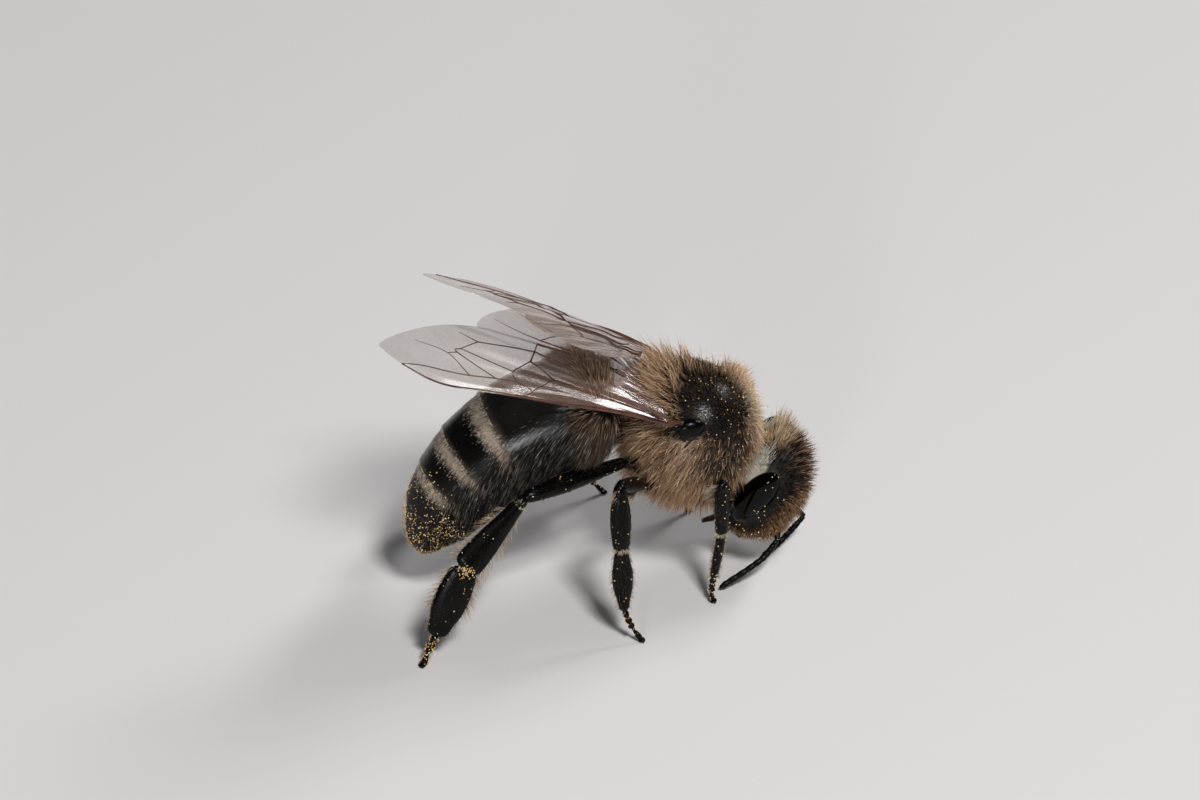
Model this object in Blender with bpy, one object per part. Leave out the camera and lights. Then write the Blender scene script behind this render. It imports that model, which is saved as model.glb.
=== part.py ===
"""A honey bee worker at life size, standing still on six feet with the abdomen arched down.

Every length is in millimetres in the bee's own frame: X forward, Y to its left, Z up, and the
floor at zero. One empty turns the whole bee into metres and puts its middle over the origin.
The solids reach out to the tips of the coat, and keep a hair's gap from their neighbours.
"""
import math

import bmesh
import bpy
from mathutils import Matrix, Vector

MILLIMETRE = 0.001
MIDDLE = Vector((-2.587, 0.0, 0.0))  # middle of the bee's box, which goes to the origin
GAP = 0.06  # air left between neighbouring solids

# ---- trunk ----
THORAX_CENTRE = Vector((0.55, 0.0, 4.95))
THORAX_HALF = Vector((1.80, 1.88, 1.84))  # half length, width and height of the shell
THORAX_PITCH = math.radians(22)  # nose down
THORAX_COAT = 0.62
THORAX_COAT_TOP = 0.22
THORAX_COAT_BELOW = 0.06
THORAX_COAT_REAR = 0.20  # extra on the top behind the middle
THORAX_COAT_FRONT = 0.26  # missing on the top in front of the middle
REAR_TOP_WAY = Vector((-0.35, 0.0, 0.94))
FRONT_TOP_WAY = Vector((0.80, 0.0, 0.60))
NECK_DIP = 0.98  # the coat thins out and the shell falls away round the neck
WAIST_DIP = 0.42

HEAD_CENTRE = Vector((2.62, -0.06, 2.58))
HEAD_TILT = math.radians(32)  # top of the head forward of the mouth
HEAD_TURN = math.radians(16)  # face turned to the bee's right
HEAD_HALF = Vector((1.72, 1.00, 1.62))  # half width, depth and height of the shell
HEAD_COAT_TOP = 0.52
HEAD_COAT_FACE = 0.45
CHEEK_TAPER = 0.30

EYE_PLACE = Vector((1.42, -0.27, 0.27))  # right of, in front of and above the head's centre
EYE_HALF = Vector((0.42, 0.50, 1.16))
EYE_LEAN = math.radians(9)  # lower ends of the eyes closer together

# The abdomen's axis is one Bezier curve from its front wall to the sting.
ABDOMEN_AXIS = [
    Vector((-2.05, 0.0, 5.95)),
    Vector((-4.55, 0.0, 6.22)),
    Vector((-6.70, 0.0, 4.85)),
    Vector((-8.10, 0.0, 1.62)),
]
ABDOMEN_RADIUS = 1.93
ABDOMEN_NARROWING = 0.40
ABDOMEN_WIDEST = 0.22  # place along the axis
ABDOMEN_BREADTH = 1.07
ABDOMEN_HEIGHT = 0.96
RING_ENDS = [0.0, 0.20, 0.46, 0.62, 0.745, 0.86, 1.0]  # where each ring of the abdomen begins
SHELL_STEP = 0.02  # how far a ring's rear rim stands over the next ring

# ---- wings: a base, a direction to the tip and a direction to the rear edge ----
WING_THICKNESS = 0.50
FORE_LENGTH = 9.5
FORE_REAR = 2.45  # widest rear edge, at FORE_WIDEST of the length
FORE_WIDEST = 0.62
FORE_FRONT_BOW = 1.00
HIND_START = 0.07
HIND_END = 0.645
HIND_CHORD = 1.75
WINGS = {
    "right": {
        "base": Vector((-0.70, -1.80, 6.22)),
        "along": Vector((-8.70, 0.45, 3.74)),
        "chord": Vector((0.10, 0.99, 0.03)),
        "hind_chord": Vector((0.10, 0.96, 0.22)),
    },
    "left": {
        "base": Vector((-0.50, 1.75, 6.67)),
        "along": Vector((-7.47, -2.60, 5.26)),
        "chord": Vector((0.02, -0.95, 0.30)),
        "hind_chord": Vector((-0.30, -0.90, 0.28)),
    },
}

# ---- legs: joints from the body to the foot, on the right side ----
LEGS = {
    "front": [
        Vector((1.05, -0.55, 3.30)),
        Vector((1.32, -1.08, 2.55)),
        Vector((0.86, -2.30, 4.20)),
        Vector((0.86, -2.40, 2.45)),
        Vector((0.62, -2.38, 0.85)),
        Vector((0.56, -2.46, -0.12)),
    ],
    "mid": [
        Vector((-0.55, -0.75, 3.45)),
        Vector((-1.30, -1.30, 3.85)),
        Vector((-2.45, -3.00, 5.05)),
        Vector((-2.51, -3.50, 3.05)),
        Vector((-2.49, -3.85, 1.10)),
        Vector((-2.03, -4.05, -0.12)),
    ],
    "hind": [
        Vector((-0.80, -0.60, 3.90)),
        Vector((-1.85, -1.05, 4.58)),
        Vector((-5.27, -2.50, 4.69)),
        Vector((-7.29, -3.35, 2.94)),
        Vector((-8.27, -3.75, 0.95)),
        Vector((-8.70, -3.95, -0.12)),
    ],
}
# The left feet stand further on than the right ones, as in a walking bee.
LEFT_STEP = {"front": 0.35, "mid": 0.55, "hind": 2.10}
STEP_SPREAD = 1.5  # how slowly a step's share grows from the hip to the foot
KNEE_SETBACK = 0.20  # each part starts this far past its joint,
KNEE_OVERHANG = 0.10  # and ends this far past the next one
LEG_PARTS = ["coxa", "femur", "tibia", "basitarsus", "tarsus"]
# Width at the start, middle and end of each part, then its depth.
LEG_SIZES = {
    "front": {
        "coxa": (0.70, 0.78, 0.60, 0.60),
        "femur": (0.55, 0.66, 0.52, 0.55),
        "tibia": (0.52, 0.54, 0.54, 0.50),
        "basitarsus": (0.50, 0.52, 0.50, 0.50),
        "tarsus": (0.50, 0.50, 0.50, 0.50),
    },
    "mid": {
        "coxa": (0.74, 0.82, 0.62, 0.62),
        "femur": (0.55, 0.66, 0.52, 0.55),
        "tibia": (0.54, 0.62, 0.62, 0.50),
        "basitarsus": (0.56, 0.66, 0.52, 0.50),
        "tarsus": (0.50, 0.50, 0.50, 0.50),
    },
    "hind": {
        "coxa": (0.85, 0.92, 0.70, 0.70),
        "femur": (0.55, 0.70, 0.56, 0.55),
        "tibia": (0.50, 0.72, 0.96, 0.50),
        "basitarsus": (0.86, 1.10, 0.80, 0.50),
        "tarsus": (0.54, 0.50, 0.50, 0.50),
    },
}

# ---- feelers and mouth ----
FEELER_THICKNESS = 0.48
FEELERS = {
    "right": [
        Vector((3.08, -0.60, 2.02)),
        Vector((2.87, -1.33, 1.24)),
        Vector((2.26, -1.68, 0.78)),
        Vector((0.98, -2.02, 0.30)),
    ],
    "left": [
        Vector((3.30, 0.16, 2.02)),
        Vector((4.06, 0.17, 0.96)),
        Vector((3.23, -0.15, 0.34)),
        Vector((2.60, -0.60, 0.32)),
    ],
}
JAW_ROOT = Vector((0.46, 0.20, -1.30))  # right of, in front of and above the head's centre
JAW_TIP = Vector((0.14, 0.26, -1.86))
TONGUE_ROOT = Vector((0.0, -0.30, -1.25))
TONGUE_TIP = Vector((0.0, -0.72, -2.28))

# ---- colours and finish: colour, roughness ----
BLACK_SHELL = ((0.020, 0.018, 0.017), 0.25)
DARK_COAT = ((0.085, 0.070, 0.052), 0.80)
BANDED_COAT = ((0.120, 0.100, 0.078), 0.75)
EYE_GLOSS = ((0.006, 0.005, 0.005), 0.12)
WING_MEMBRANE = ((0.40, 0.32, 0.26), 0.20)
NECK_SKIN = ((0.55, 0.52, 0.44), 0.60)


# ---------------------------------------------------------------- helpers
def clear_scene():
    for thing in list(bpy.data.objects):
        bpy.data.objects.remove(thing, do_unlink=True)


def finish_material(name, finish):
    colour, roughness = finish
    material = bpy.data.materials.get(name) or bpy.data.materials.new(name)
    material.use_nodes = True
    shader = material.node_tree.nodes["Principled BSDF"]
    shader.inputs["Base Color"].default_value = (*colour, 1.0)
    shader.inputs["Roughness"].default_value = roughness
    shader.inputs["Metallic"].default_value = 0.0
    return material


def add_piece(name, bm, material):
    """One named sub-part, hung on the empty that scales the bee to metres."""
    bmesh.ops.recalc_face_normals(bm, faces=bm.faces)
    for face in bm.faces:
        face.smooth = True
    mesh = bpy.data.meshes.new(name)
    bm.to_mesh(mesh)
    bm.free()
    mesh.materials.append(material)
    piece = bpy.data.objects.new(name, mesh)
    bpy.context.scene.collection.objects.link(piece)
    piece.parent = bpy.data.objects["bee"]
    return piece


def fatter_copy(piece, margin):
    """A hidden copy of a piece grown outward, which cuts its neighbours clear of it."""
    name = "clearance_" + piece.name
    if name in bpy.data.objects:
        return bpy.data.objects[name]
    bm = bmesh.new()
    bm.from_mesh(piece.data)
    bm.normal_update()
    moves = [(vert, vert.normal * margin * min(vert.calc_shell_factor(), 1.6)) for vert in bm.verts]
    for vert, move in moves:
        vert.co += move
    mesh = bpy.data.meshes.new(name)
    bm.to_mesh(mesh)
    bm.free()
    copy = bpy.data.objects.new(name, mesh)
    bpy.context.scene.collection.objects.link(copy)
    copy.parent = bpy.data.objects["bee"]
    copy.hide_render = True
    copy.display_type = "WIRE"
    return copy


def keep_clear(piece, *neighbours):
    """Cut a piece back to the gap wherever a neighbour would pass through it."""
    for neighbour in neighbours:
        cut = piece.modifiers.new("clear_of_" + neighbour.name, "BOOLEAN")
        cut.operation = "DIFFERENCE"
        cut.object = fatter_copy(neighbour, GAP)


def frame_along(direction, side):
    """Axes of a cross-section: its width along side, its depth across both, and the direction."""
    ahead = direction.normalized()
    width = (side - ahead * side.dot(ahead)).normalized()
    return width, ahead.cross(width), ahead


def loft(stations, sides, bm=None):
    """Skin a row of elliptic rings; each station is a centre, a width vector and a depth vector."""
    bm = bm or bmesh.new()
    rings = []
    for index, (centre, width, depth) in enumerate(stations):
        ahead = width.cross(depth).normalized()
        place = Matrix.Translation(centre) @ Matrix((width, depth, ahead)).transposed().to_4x4()
        ends = index in (0, len(stations) - 1)
        made = bmesh.ops.create_circle(
            bm, cap_ends=ends, cap_tris=False, segments=sides, radius=1.0, matrix=place
        )
        rings.append({edge for vert in made["verts"] for edge in vert.link_edges})
    for first, second in zip(rings, rings[1:]):
        bmesh.ops.bridge_loops(bm, edges=list(first | second))
    return bm


def bezier(points, t):
    first, second, third, last = points
    s = 1.0 - t
    return first * s**3 + second * (3 * s * s * t) + third * (3 * s * t * t) + last * t**3


def bezier_heading(points, t):
    first, second, third, last = points
    s = 1.0 - t
    legs = (second - first) * (s * s) + (third - second) * (2 * s * t) + (last - third) * (t * t)
    return legs.normalized()


# ---------------------------------------------------------------- trunk
def make_thorax(material):
    turn = Matrix.Rotation(THORAX_PITCH, 3, "Y")
    neck_way = (HEAD_CENTRE - THORAX_CENTRE).normalized()
    waist_way = (ABDOMEN_AXIS[0] - THORAX_CENTRE).normalized()
    bm = bmesh.new()
    bmesh.ops.create_uvsphere(bm, u_segments=24, v_segments=16, radius=1.0)
    for vert in bm.verts:
        shell = turn @ (vert.co * THORAX_HALF)
        way = shell.normalized()
        coat = THORAX_COAT + THORAX_COAT_TOP * max(way.z, 0.0) + THORAX_COAT_BELOW * max(-way.z, 0.0)
        coat += THORAX_COAT_REAR * max(way.dot(REAR_TOP_WAY), 0.0) ** 6
        coat -= THORAX_COAT_FRONT * max(way.dot(FRONT_TOP_WAY), 0.0) ** 6
        coat -= NECK_DIP * max(way.dot(neck_way), 0.0) ** 5
        coat -= WAIST_DIP * max(way.dot(waist_way), 0.0) ** 6
        vert.co = THORAX_CENTRE + shell + way * coat
    return add_piece("thorax", bm, material)


def head_axes():
    turn = Matrix.Rotation(-HEAD_TURN, 3, "Z")
    up = turn @ Vector((math.sin(HEAD_TILT), 0.0, math.cos(HEAD_TILT)))
    front = turn @ Vector((math.cos(HEAD_TILT), 0.0, -math.sin(HEAD_TILT)))
    return turn @ Vector((0.0, -1.0, 0.0)), front, up


def head_point(place, side=1.0):
    """A point given by its distances right of, in front of and above the head's centre."""
    right, front, up = head_axes()
    return HEAD_CENTRE + right * (place.x * side) + front * place.y + up * place.z


def make_head(material):
    bm = bmesh.new()
    bmesh.ops.create_uvsphere(bm, u_segments=24, v_segments=16, radius=1.0)
    for vert in bm.verts:
        across, ahead, above = vert.co
        narrowing = 1.0 - CHEEK_TAPER * max(-above, 0.0) ** 1.3
        shell = Vector((across * HEAD_HALF.x * narrowing, ahead * HEAD_HALF.y, above * HEAD_HALF.z))
        coat = HEAD_COAT_TOP * max(above, 0.0) ** 2 + HEAD_COAT_FACE * max(ahead, 0.0) ** 2
        coat += 0.14 * max(-ahead, 0.0)
        vert.co = head_point(shell + vert.co * coat)
    return add_piece("head", bm, material)


def make_eye(side_name, side, material):
    right, front, up = head_axes()
    lean = Matrix.Rotation(EYE_LEAN * side, 3, front)
    bm = bmesh.new()
    bmesh.ops.create_uvsphere(bm, u_segments=16, v_segments=10, radius=1.0)
    for vert in bm.verts:
        local = vert.co * EYE_HALF
        turned = lean @ (right * local.x + front * local.y + up * local.z)
        vert.co = head_point(EYE_PLACE, side) + turned
    return add_piece("eye_" + side_name, bm, material)


def make_neck(material):
    start = THORAX_CENTRE.lerp(HEAD_CENTRE, 0.60)
    end = THORAX_CENTRE.lerp(HEAD_CENTRE, 0.86)
    width, depth, _ = frame_along(end - start, Vector((0.0, 1.0, 0.0)))
    stations = [(start, width * 0.80, depth * 0.72), (end, width * 0.66, depth * 0.60)]
    return add_piece("neck", loft(stations, 16), material)


def make_petiole(material):
    start = Vector((-0.95, 0.0, 4.72))
    end = Vector((-2.75, 0.0, 5.12))
    width, depth, _ = frame_along(end - start, Vector((0.0, 1.0, 0.0)))
    stations = [(start, width * 0.55, depth * 0.50), (end, width * 0.50, depth * 0.45)]
    return add_piece("petiole", loft(stations, 14), material)


def abdomen_radius(t):
    if t < ABDOMEN_WIDEST:
        back = (ABDOMEN_WIDEST - t) / (ABDOMEN_WIDEST + 0.03)
        return ABDOMEN_RADIUS * math.sqrt(1.0 - back**2.4)
    rear = (t - ABDOMEN_WIDEST) / (1.0 - ABDOMEN_WIDEST)
    return (ABDOMEN_RADIUS - ABDOMEN_NARROWING * rear) * math.sqrt(max(1.0 - rear**5, 0.006))


def make_abdomen_ring(number, material):
    """One of the six overlapping rings, cut square to the abdomen's axis."""
    begin, end = RING_ENDS[number - 1], RING_ENDS[number]
    axis_length = (ABDOMEN_AXIS[3] - ABDOMEN_AXIS[0]).length
    begin += GAP / axis_length if number > 1 else 0.0
    steps = 5
    stations = []
    for step in range(steps + 1):
        t = begin + (end - begin) * step / steps
        if number == 6:
            t = begin + (end - begin) * math.sin(step / steps * math.pi / 2)
        width, depth, _ = frame_along(bezier_heading(ABDOMEN_AXIS, t), Vector((0.0, 1.0, 0.0)))
        radius = abdomen_radius(t) * (1.0 - SHELL_STEP * (1.0 - step / steps))
        stations.append(
            (
                bezier(ABDOMEN_AXIS, t),
                width * radius * ABDOMEN_BREADTH,
                depth * radius * ABDOMEN_HEIGHT,
            )
        )
    return add_piece(f"abdomen_{number}", loft(stations, 24), material)


# ---------------------------------------------------------------- wings
def fore_front(u):
    """Front edge of the fore wing, measured across the line from base to tip."""
    return -FORE_FRONT_BOW * math.sin(math.pi * u**2.65)


def fore_rear(u):
    if u < FORE_WIDEST:
        return FORE_REAR * (u / FORE_WIDEST) ** 0.32
    beyond = (u - FORE_WIDEST) / (1.0 - FORE_WIDEST)
    return FORE_REAR * max(1.0 - beyond**1.55, 0.0) ** 0.85


def hind_width(u):
    """Width of the hind wing behind the fore wing's rear edge."""
    run = (u - HIND_START) / (HIND_END - HIND_START)
    return HIND_CHORD * max(math.sin(math.pi * run**0.9), 0.0) ** 0.6


def wing_plate(along_steps, across_steps, place):
    """A flat grid bent to place(u, v), thickened evenly about its middle."""
    bm = bmesh.new()
    bmesh.ops.create_grid(bm, x_segments=along_steps, y_segments=across_steps, size=1.0)
    for vert in bm.verts:
        vert.co = place((vert.co.x + 1.0) / 2.0, (vert.co.y + 1.0) / 2.0)
    bmesh.ops.recalc_face_normals(bm, faces=bm.faces)
    bm.normal_update()
    for vert in bm.verts:
        vert.co += vert.normal * (WING_THICKNESS / 2.0)
    bmesh.ops.solidify(bm, geom=bm.verts[:] + bm.edges[:] + bm.faces[:], thickness=WING_THICKNESS)
    return bm


def make_fore_wing(side_name, material):
    wing = WINGS[side_name]
    along = wing["along"].normalized() * FORE_LENGTH
    chord = wing["chord"].normalized()

    def place(u, v):
        reach = 0.02 + 0.975 * u
        front, rear = fore_front(reach), max(fore_rear(reach), 0.28)
        return wing["base"] + along * reach + chord * (front + (rear - front) * v)

    return add_piece("wing_fore_" + side_name, wing_plate(14, 3, place), material)


def make_hind_wing(side_name, material):
    wing = WINGS[side_name]
    along = wing["along"].normalized() * FORE_LENGTH
    chord, hind_chord = wing["chord"].normalized(), wing["hind_chord"].normalized()

    def place(u, v):
        reach = HIND_START + (HIND_END - HIND_START) * (0.03 + 0.94 * u)
        fold = wing["base"] + along * reach + chord * (fore_rear(reach) + GAP)
        return fold + hind_chord * (hind_width(reach) * v)

    return add_piece("wing_hind_" + side_name, wing_plate(10, 2, place), material)


# ---------------------------------------------------------------- legs, feelers and mouth
def leg_joints(leg, side):
    joints = []
    for number, joint in enumerate(LEGS[leg]):
        point = joint.copy()
        if side < 0:
            point.x += LEFT_STEP[leg] * (number / 5.0) ** STEP_SPREAD
            point.y = -point.y
        joints.append(point)
    return joints


def make_leg_part(leg, side_name, side, number, material):
    part = LEG_PARTS[number]
    start, end = leg_joints(leg, side)[number : number + 2]
    first, middle, last, thick = LEG_SIZES[leg][part]
    outward = Vector((0.0, -side, 0.35))
    depth, width, ahead = frame_along(end - start, outward)
    start = start + ahead * (KNEE_SETBACK if number else 0.0)
    length = (end - start).length + KNEE_OVERHANG
    stations = []
    for place, size in ((0.0, first * 0.7), (0.12, first), (0.55, middle), (0.90, last), (1.0, last * 0.75)):
        slim = 0.8 if place in (0.0, 1.0) else 1.0
        centre = start + ahead * length * place
        stations.append((centre, width * size / 2.0, depth * thick * slim / 2.0))
    bm = loft(stations, 10)
    if part == "tarsus":
        planes = bm.verts[:] + bm.edges[:] + bm.faces[:]
        bmesh.ops.bisect_plane(
            bm, geom=planes, dist=1e-5, plane_co=(0, 0, 0), plane_no=(0, 0, -1), clear_outer=True
        )
        bmesh.ops.holes_fill(bm, edges=bm.edges[:], sides=0)
    return add_piece(f"{leg}_{side_name}_{part}", bm, material)


def make_rod(name, points, sizes, material):
    """A slim bent rod through a few points, thick at each as sizes says."""
    stations = []
    for index, point in enumerate(points):
        before, after = points[max(index - 1, 0)], points[min(index + 1, len(points) - 1)]
        width, depth, _ = frame_along(after - before, Vector((0.0, 1.0, 0.0)))
        stations.append((point, width * sizes[index] / 2.0, depth * sizes[index] / 2.0))
    return add_piece(name, loft(stations, 8), material)


def make_jaw(side_name, side, material):
    points = [head_point(JAW_ROOT, side), head_point(JAW_TIP, side)]
    return make_rod("mandible_" + side_name, points, [0.62, 0.46], material)


# ---------------------------------------------------------------- the bee
clear_scene()
bee = bpy.data.objects.new("bee", None)
bpy.context.scene.collection.objects.link(bee)
bee.scale = (MILLIMETRE, MILLIMETRE, MILLIMETRE)
bee.location = -MIDDLE * MILLIMETRE

shell = finish_material("black_shell", BLACK_SHELL)
coat = finish_material("dark_coat", DARK_COAT)
bands = finish_material("banded_coat", BANDED_COAT)
gloss = finish_material("eye_gloss", EYE_GLOSS)
membrane = finish_material("wing_membrane", WING_MEMBRANE)
skin = finish_material("neck_skin", NECK_SKIN)

thorax = make_thorax(coat)
head = make_head(coat)
neck = make_neck(skin)
keep_clear(neck, thorax, head)
keep_clear(head, thorax)
rings = [make_abdomen_ring(number, bands) for number in range(1, 7)]
petiole = make_petiole(shell)
keep_clear(rings[0], thorax)
keep_clear(petiole, rings[0], thorax)

feelers_and_mouth = []
tongue = make_rod("proboscis", [head_point(TONGUE_ROOT), head_point(TONGUE_TIP)], [0.60, 0.46], shell)
for side_name, side in (("right", 1.0), ("left", -1.0)):
    eye = make_eye(side_name, side, gloss)
    keep_clear(head, eye)
    joints = FEELERS[side_name]
    thick = FEELER_THICKNESS
    scape = make_rod(f"antenna_{side_name}_scape", joints[:2], [thick, thick], shell)
    flagellum = make_rod(f"antenna_{side_name}_flagellum", joints[1:], [thick] * 3, shell)
    jaw = make_jaw(side_name, side, shell)
    keep_clear(scape, head)
    keep_clear(flagellum, scape)
    keep_clear(jaw, head, *feelers_and_mouth[-1:])
    keep_clear(tongue, jaw)
    feelers_and_mouth.append(jaw)
keep_clear(tongue, head)

for side_name, side in (("right", 1.0), ("left", -1.0)):
    for leg in LEGS:
        previous = None
        for number, part in enumerate(LEG_PARTS):
            piece = make_leg_part(leg, side_name, side, number, shell)
            if previous:
                keep_clear(piece, previous)
            if part in ("coxa", "femur"):
                keep_clear(piece, thorax)
            if (leg, part) == ("hind", "femur"):
                keep_clear(piece, *rings[:2])
            previous = piece

near_fore = make_fore_wing("right", membrane)
near_hind = make_hind_wing("right", membrane)
far_fore = make_fore_wing("left", membrane)
far_hind = make_hind_wing("left", membrane)
for wing in (near_fore, near_hind, far_fore, far_hind):
    keep_clear(wing, thorax)
for wing in (near_fore, near_hind):
    keep_clear(wing, *rings[:3])
keep_clear(near_hind, near_fore)
keep_clear(far_hind, far_fore, near_hind)
keep_clear(far_fore, near_hind)
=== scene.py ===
# %% [markdown]
# # A honey bee worker at life size
# A museum model of a dark, grey-banded honey bee, head down and wings folded back. It stands on
# its six feet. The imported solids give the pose; this file gives it shell, hair, wings and eyes.
# Everything is shaped in millimetres in the bee's own frame (X forward, Y to its left, Z up).

# %% Load the frame
import math

import bmesh
import bpy
import numpy as np
from mathutils import Matrix, Vector


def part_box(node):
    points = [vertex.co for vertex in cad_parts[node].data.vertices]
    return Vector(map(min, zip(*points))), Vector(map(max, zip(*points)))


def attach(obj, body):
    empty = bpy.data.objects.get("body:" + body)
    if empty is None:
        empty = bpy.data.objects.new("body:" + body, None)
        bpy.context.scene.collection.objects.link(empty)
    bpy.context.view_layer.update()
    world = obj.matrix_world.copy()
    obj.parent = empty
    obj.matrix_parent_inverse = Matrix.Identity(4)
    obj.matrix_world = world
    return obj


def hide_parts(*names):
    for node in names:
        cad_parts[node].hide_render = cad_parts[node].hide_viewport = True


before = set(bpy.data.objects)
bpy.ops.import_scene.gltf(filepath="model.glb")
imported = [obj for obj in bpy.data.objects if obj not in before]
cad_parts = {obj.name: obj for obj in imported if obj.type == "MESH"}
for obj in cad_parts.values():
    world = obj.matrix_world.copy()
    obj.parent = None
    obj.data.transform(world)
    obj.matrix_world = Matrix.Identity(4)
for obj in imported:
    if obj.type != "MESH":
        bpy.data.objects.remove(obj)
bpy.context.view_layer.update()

print("packed solids:", len(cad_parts))

# %% [markdown]
# ## Where the bee stands
# The solids were made from these same sizes, so the shell, hair and wings can follow them. The
# bee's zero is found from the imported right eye: the middle of its box is the middle of the eye.

# %% Sizes and the bee's own millimetres
MM = 0.001
THORAX_CENTRE = Vector((0.55, 0.0, 4.95))
THORAX_HALF = Vector((1.80, 1.88, 1.84))
THORAX_PITCH = math.radians(22)
HEAD_CENTRE = Vector((2.62, -0.06, 2.58))
HEAD_TILT = math.radians(32)
HEAD_TURN = math.radians(16)  # face turned to the bee's right
HEAD_HALF = Vector((1.72, 1.00, 1.62))
HEAD_FULLNESS = 2.5  # 2 would be a plain ellipsoid; the cheeks and crown are fuller than that
CHEEK_TAPER = 0.30
EYE_PLACE = Vector((1.42, -0.27, 0.27))
EYE_HALF = Vector((0.42, 0.50, 1.16))
EYE_LEAN = math.radians(9)
SIDES = {"right": 1.0, "left": -1.0}


def head_axes():
    turn = Matrix.Rotation(-HEAD_TURN, 3, "Z")
    up = turn @ Vector((math.sin(HEAD_TILT), 0.0, math.cos(HEAD_TILT)))
    front = turn @ Vector((math.cos(HEAD_TILT), 0.0, -math.sin(HEAD_TILT)))
    return turn @ Vector((0.0, -1.0, 0.0)), front, up


def head_point(place, side=1.0):
    """A point given by its distances right of, in front of and above the head's centre."""
    right, front, up = head_axes()
    return HEAD_CENTRE + right * (place[0] * side) + front * place[1] + up * place[2]


HEAD_AXES = np.array([list(axis) for axis in head_axes()])  # rows: right, front and up
eye_low, eye_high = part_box("eye_right")
BEE_ZERO = (eye_low + eye_high) / 2 - head_point(EYE_PLACE) * MM
TO_ROW = Matrix.Translation(BEE_ZERO) @ Matrix.Scale(MM, 4)
print("the bee's zero in the row frame, mm:", [round(value / MM, 3) for value in BEE_ZERO])


# %% [markdown]
# ## Small helpers
# A piece is made from a bmesh in millimetres and moved into metres once, so that its object sits
# at the origin. Edges sharper than a limit stay crisp and everything else is shaded smooth.

# %% Finish a piece
def finish_piece(name, bm, materials, replaced=(), crisp=math.radians(50)):
    bmesh.ops.transform(bm, matrix=TO_ROW, verts=bm.verts)
    for edge in bm.edges:
        edge.smooth = edge.calc_face_angle(0.0) < crisp
    for face in bm.faces:
        face.smooth = True
    mesh = bpy.data.meshes.new(name)
    bm.to_mesh(mesh)
    bm.free()
    return dress_piece(name, mesh, materials, replaced)


def dress_piece(name, mesh, materials, replaced=()):
    """Put a mesh in the scene with its finishes, and hide the solids it stands for."""
    for material in materials:
        mesh.materials.append(material)
    piece = bpy.data.objects.new(name, mesh)
    bpy.context.scene.collection.objects.link(piece)
    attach(piece, "root")
    if replaced:
        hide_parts(*replaced)
    print(f"{name}: {len(mesh.loops) - 2 * len(mesh.polygons)} triangles")
    return piece


# %% [markdown]
# A finish is a small tree of shader nodes. One function adds any node with its settings and links.
# Colours are written as sRGB hex codes and turned to the linear values that the shader expects.
# A Map Range node takes a value, the range it comes in and the range it is stretched to. A Mix node
# for colours takes its share on socket 0 and its two colours on sockets 6 and 7.

# %% Add one shader node with its settings and links
def add_node(tree, kind, inputs=(), **settings):
    """Inputs go by socket name or number, or as a list in the order of the node's sockets."""
    made = tree.nodes.new(kind)
    for key, value in settings.items():
        setattr(made, key, value)
    for socket, value in inputs.items() if isinstance(inputs, dict) else enumerate(inputs):
        if isinstance(value, bpy.types.NodeSocket):
            tree.links.new(value, made.inputs[socket])
        else:
            made.inputs[socket].default_value = value
    return made


def srgb(code):
    """An sRGB hex colour as the linear values that the shader takes."""
    channels = [int(code[index : index + 2], 16) / 255 for index in (1, 3, 5)]
    linear = [c / 12.92 if c <= 0.04045 else ((c + 0.055) / 1.055) ** 2.4 for c in channels]
    return (*linear, 1.0)


def start_material(name, **sockets):
    """A Principled material; the settings go straight on its own sockets."""
    material = bpy.data.materials.new(name)
    material.use_nodes = True
    shader = material.node_tree.nodes["Principled BSDF"]
    for socket, value in sockets.items():
        shader.inputs[socket.replace("_", " ")].default_value = value
    return material, material.node_tree, shader


print("mid grey as linear light:", round(srgb("#808080")[0], 3))

# %% [markdown]
# ## The shapes under the hair
# The thorax and the head are ellipsoids with bumps, and the abdomen is a row of rings along one
# bent axis. Each is a function of a direction or a place, so that the same function moves the
# points of the mesh and plants the roots of the hair.

# %% Thorax
NECK_WAY = np.array((HEAD_CENTRE - THORAX_CENTRE).normalized())
ABDOMEN_START = Vector((-2.05, 0.0, 5.95))
WAIST_WAY = np.array((ABDOMEN_START - THORAX_CENTRE).normalized())
SCUTELLUM_WAY = np.array((-0.66, 0.0, 0.75))  # the lobe at the rear of the thorax's top


def unit(vectors):
    return vectors / np.maximum(np.linalg.norm(vectors, axis=-1, keepdims=True), 1e-9)


def hump(ways, centre, width):
    """1 on a direction and falling smoothly away from it."""
    angle = np.arccos(np.clip(ways @ unit(np.asarray(centre, float)), -1, 1))
    return np.exp(-((angle / width) ** 2))


def both_sides(ways, centre, width, across=1):
    """The larger of two humps that mirror each other; across is the axis from side to side."""
    mirrored = [value * (-1 if axis == across else 1) for axis, value in enumerate(centre)]
    return np.maximum(hump(ways, centre, width), hump(ways, mirrored, width))


def thorax_skin(ways):
    """Points and normals of the thorax for unit directions in its own level frame."""
    radius = 1.0 + 0.085 * hump(ways, SCUTELLUM_WAY, 0.30)
    radius -= 0.035 * hump(ways, (-0.36, 0.0, 0.93), 0.16) * (np.abs(ways[:, 1]) < 0.6)
    radius -= 0.030 * both_sides(ways, (0.35, 0.80, 0.10), 0.22)
    points = ways * np.array(THORAX_HALF) * radius[:, None]
    normals = unit(ways / np.array(THORAX_HALF))
    turn = np.array(Matrix.Rotation(THORAX_PITCH, 3, "Y")).T
    return points @ turn + np.array(THORAX_CENTRE), normals @ turn


print("thorax, mm:", [round(2 * half, 2) for half in THORAX_HALF])

# %% [markdown]
# The head is a boxy ellipsoid, wider than it is thick, that narrows to the mouth. Small humps give
# the shield of the face, and hollows the two sockets that the feelers stand in.

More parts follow.
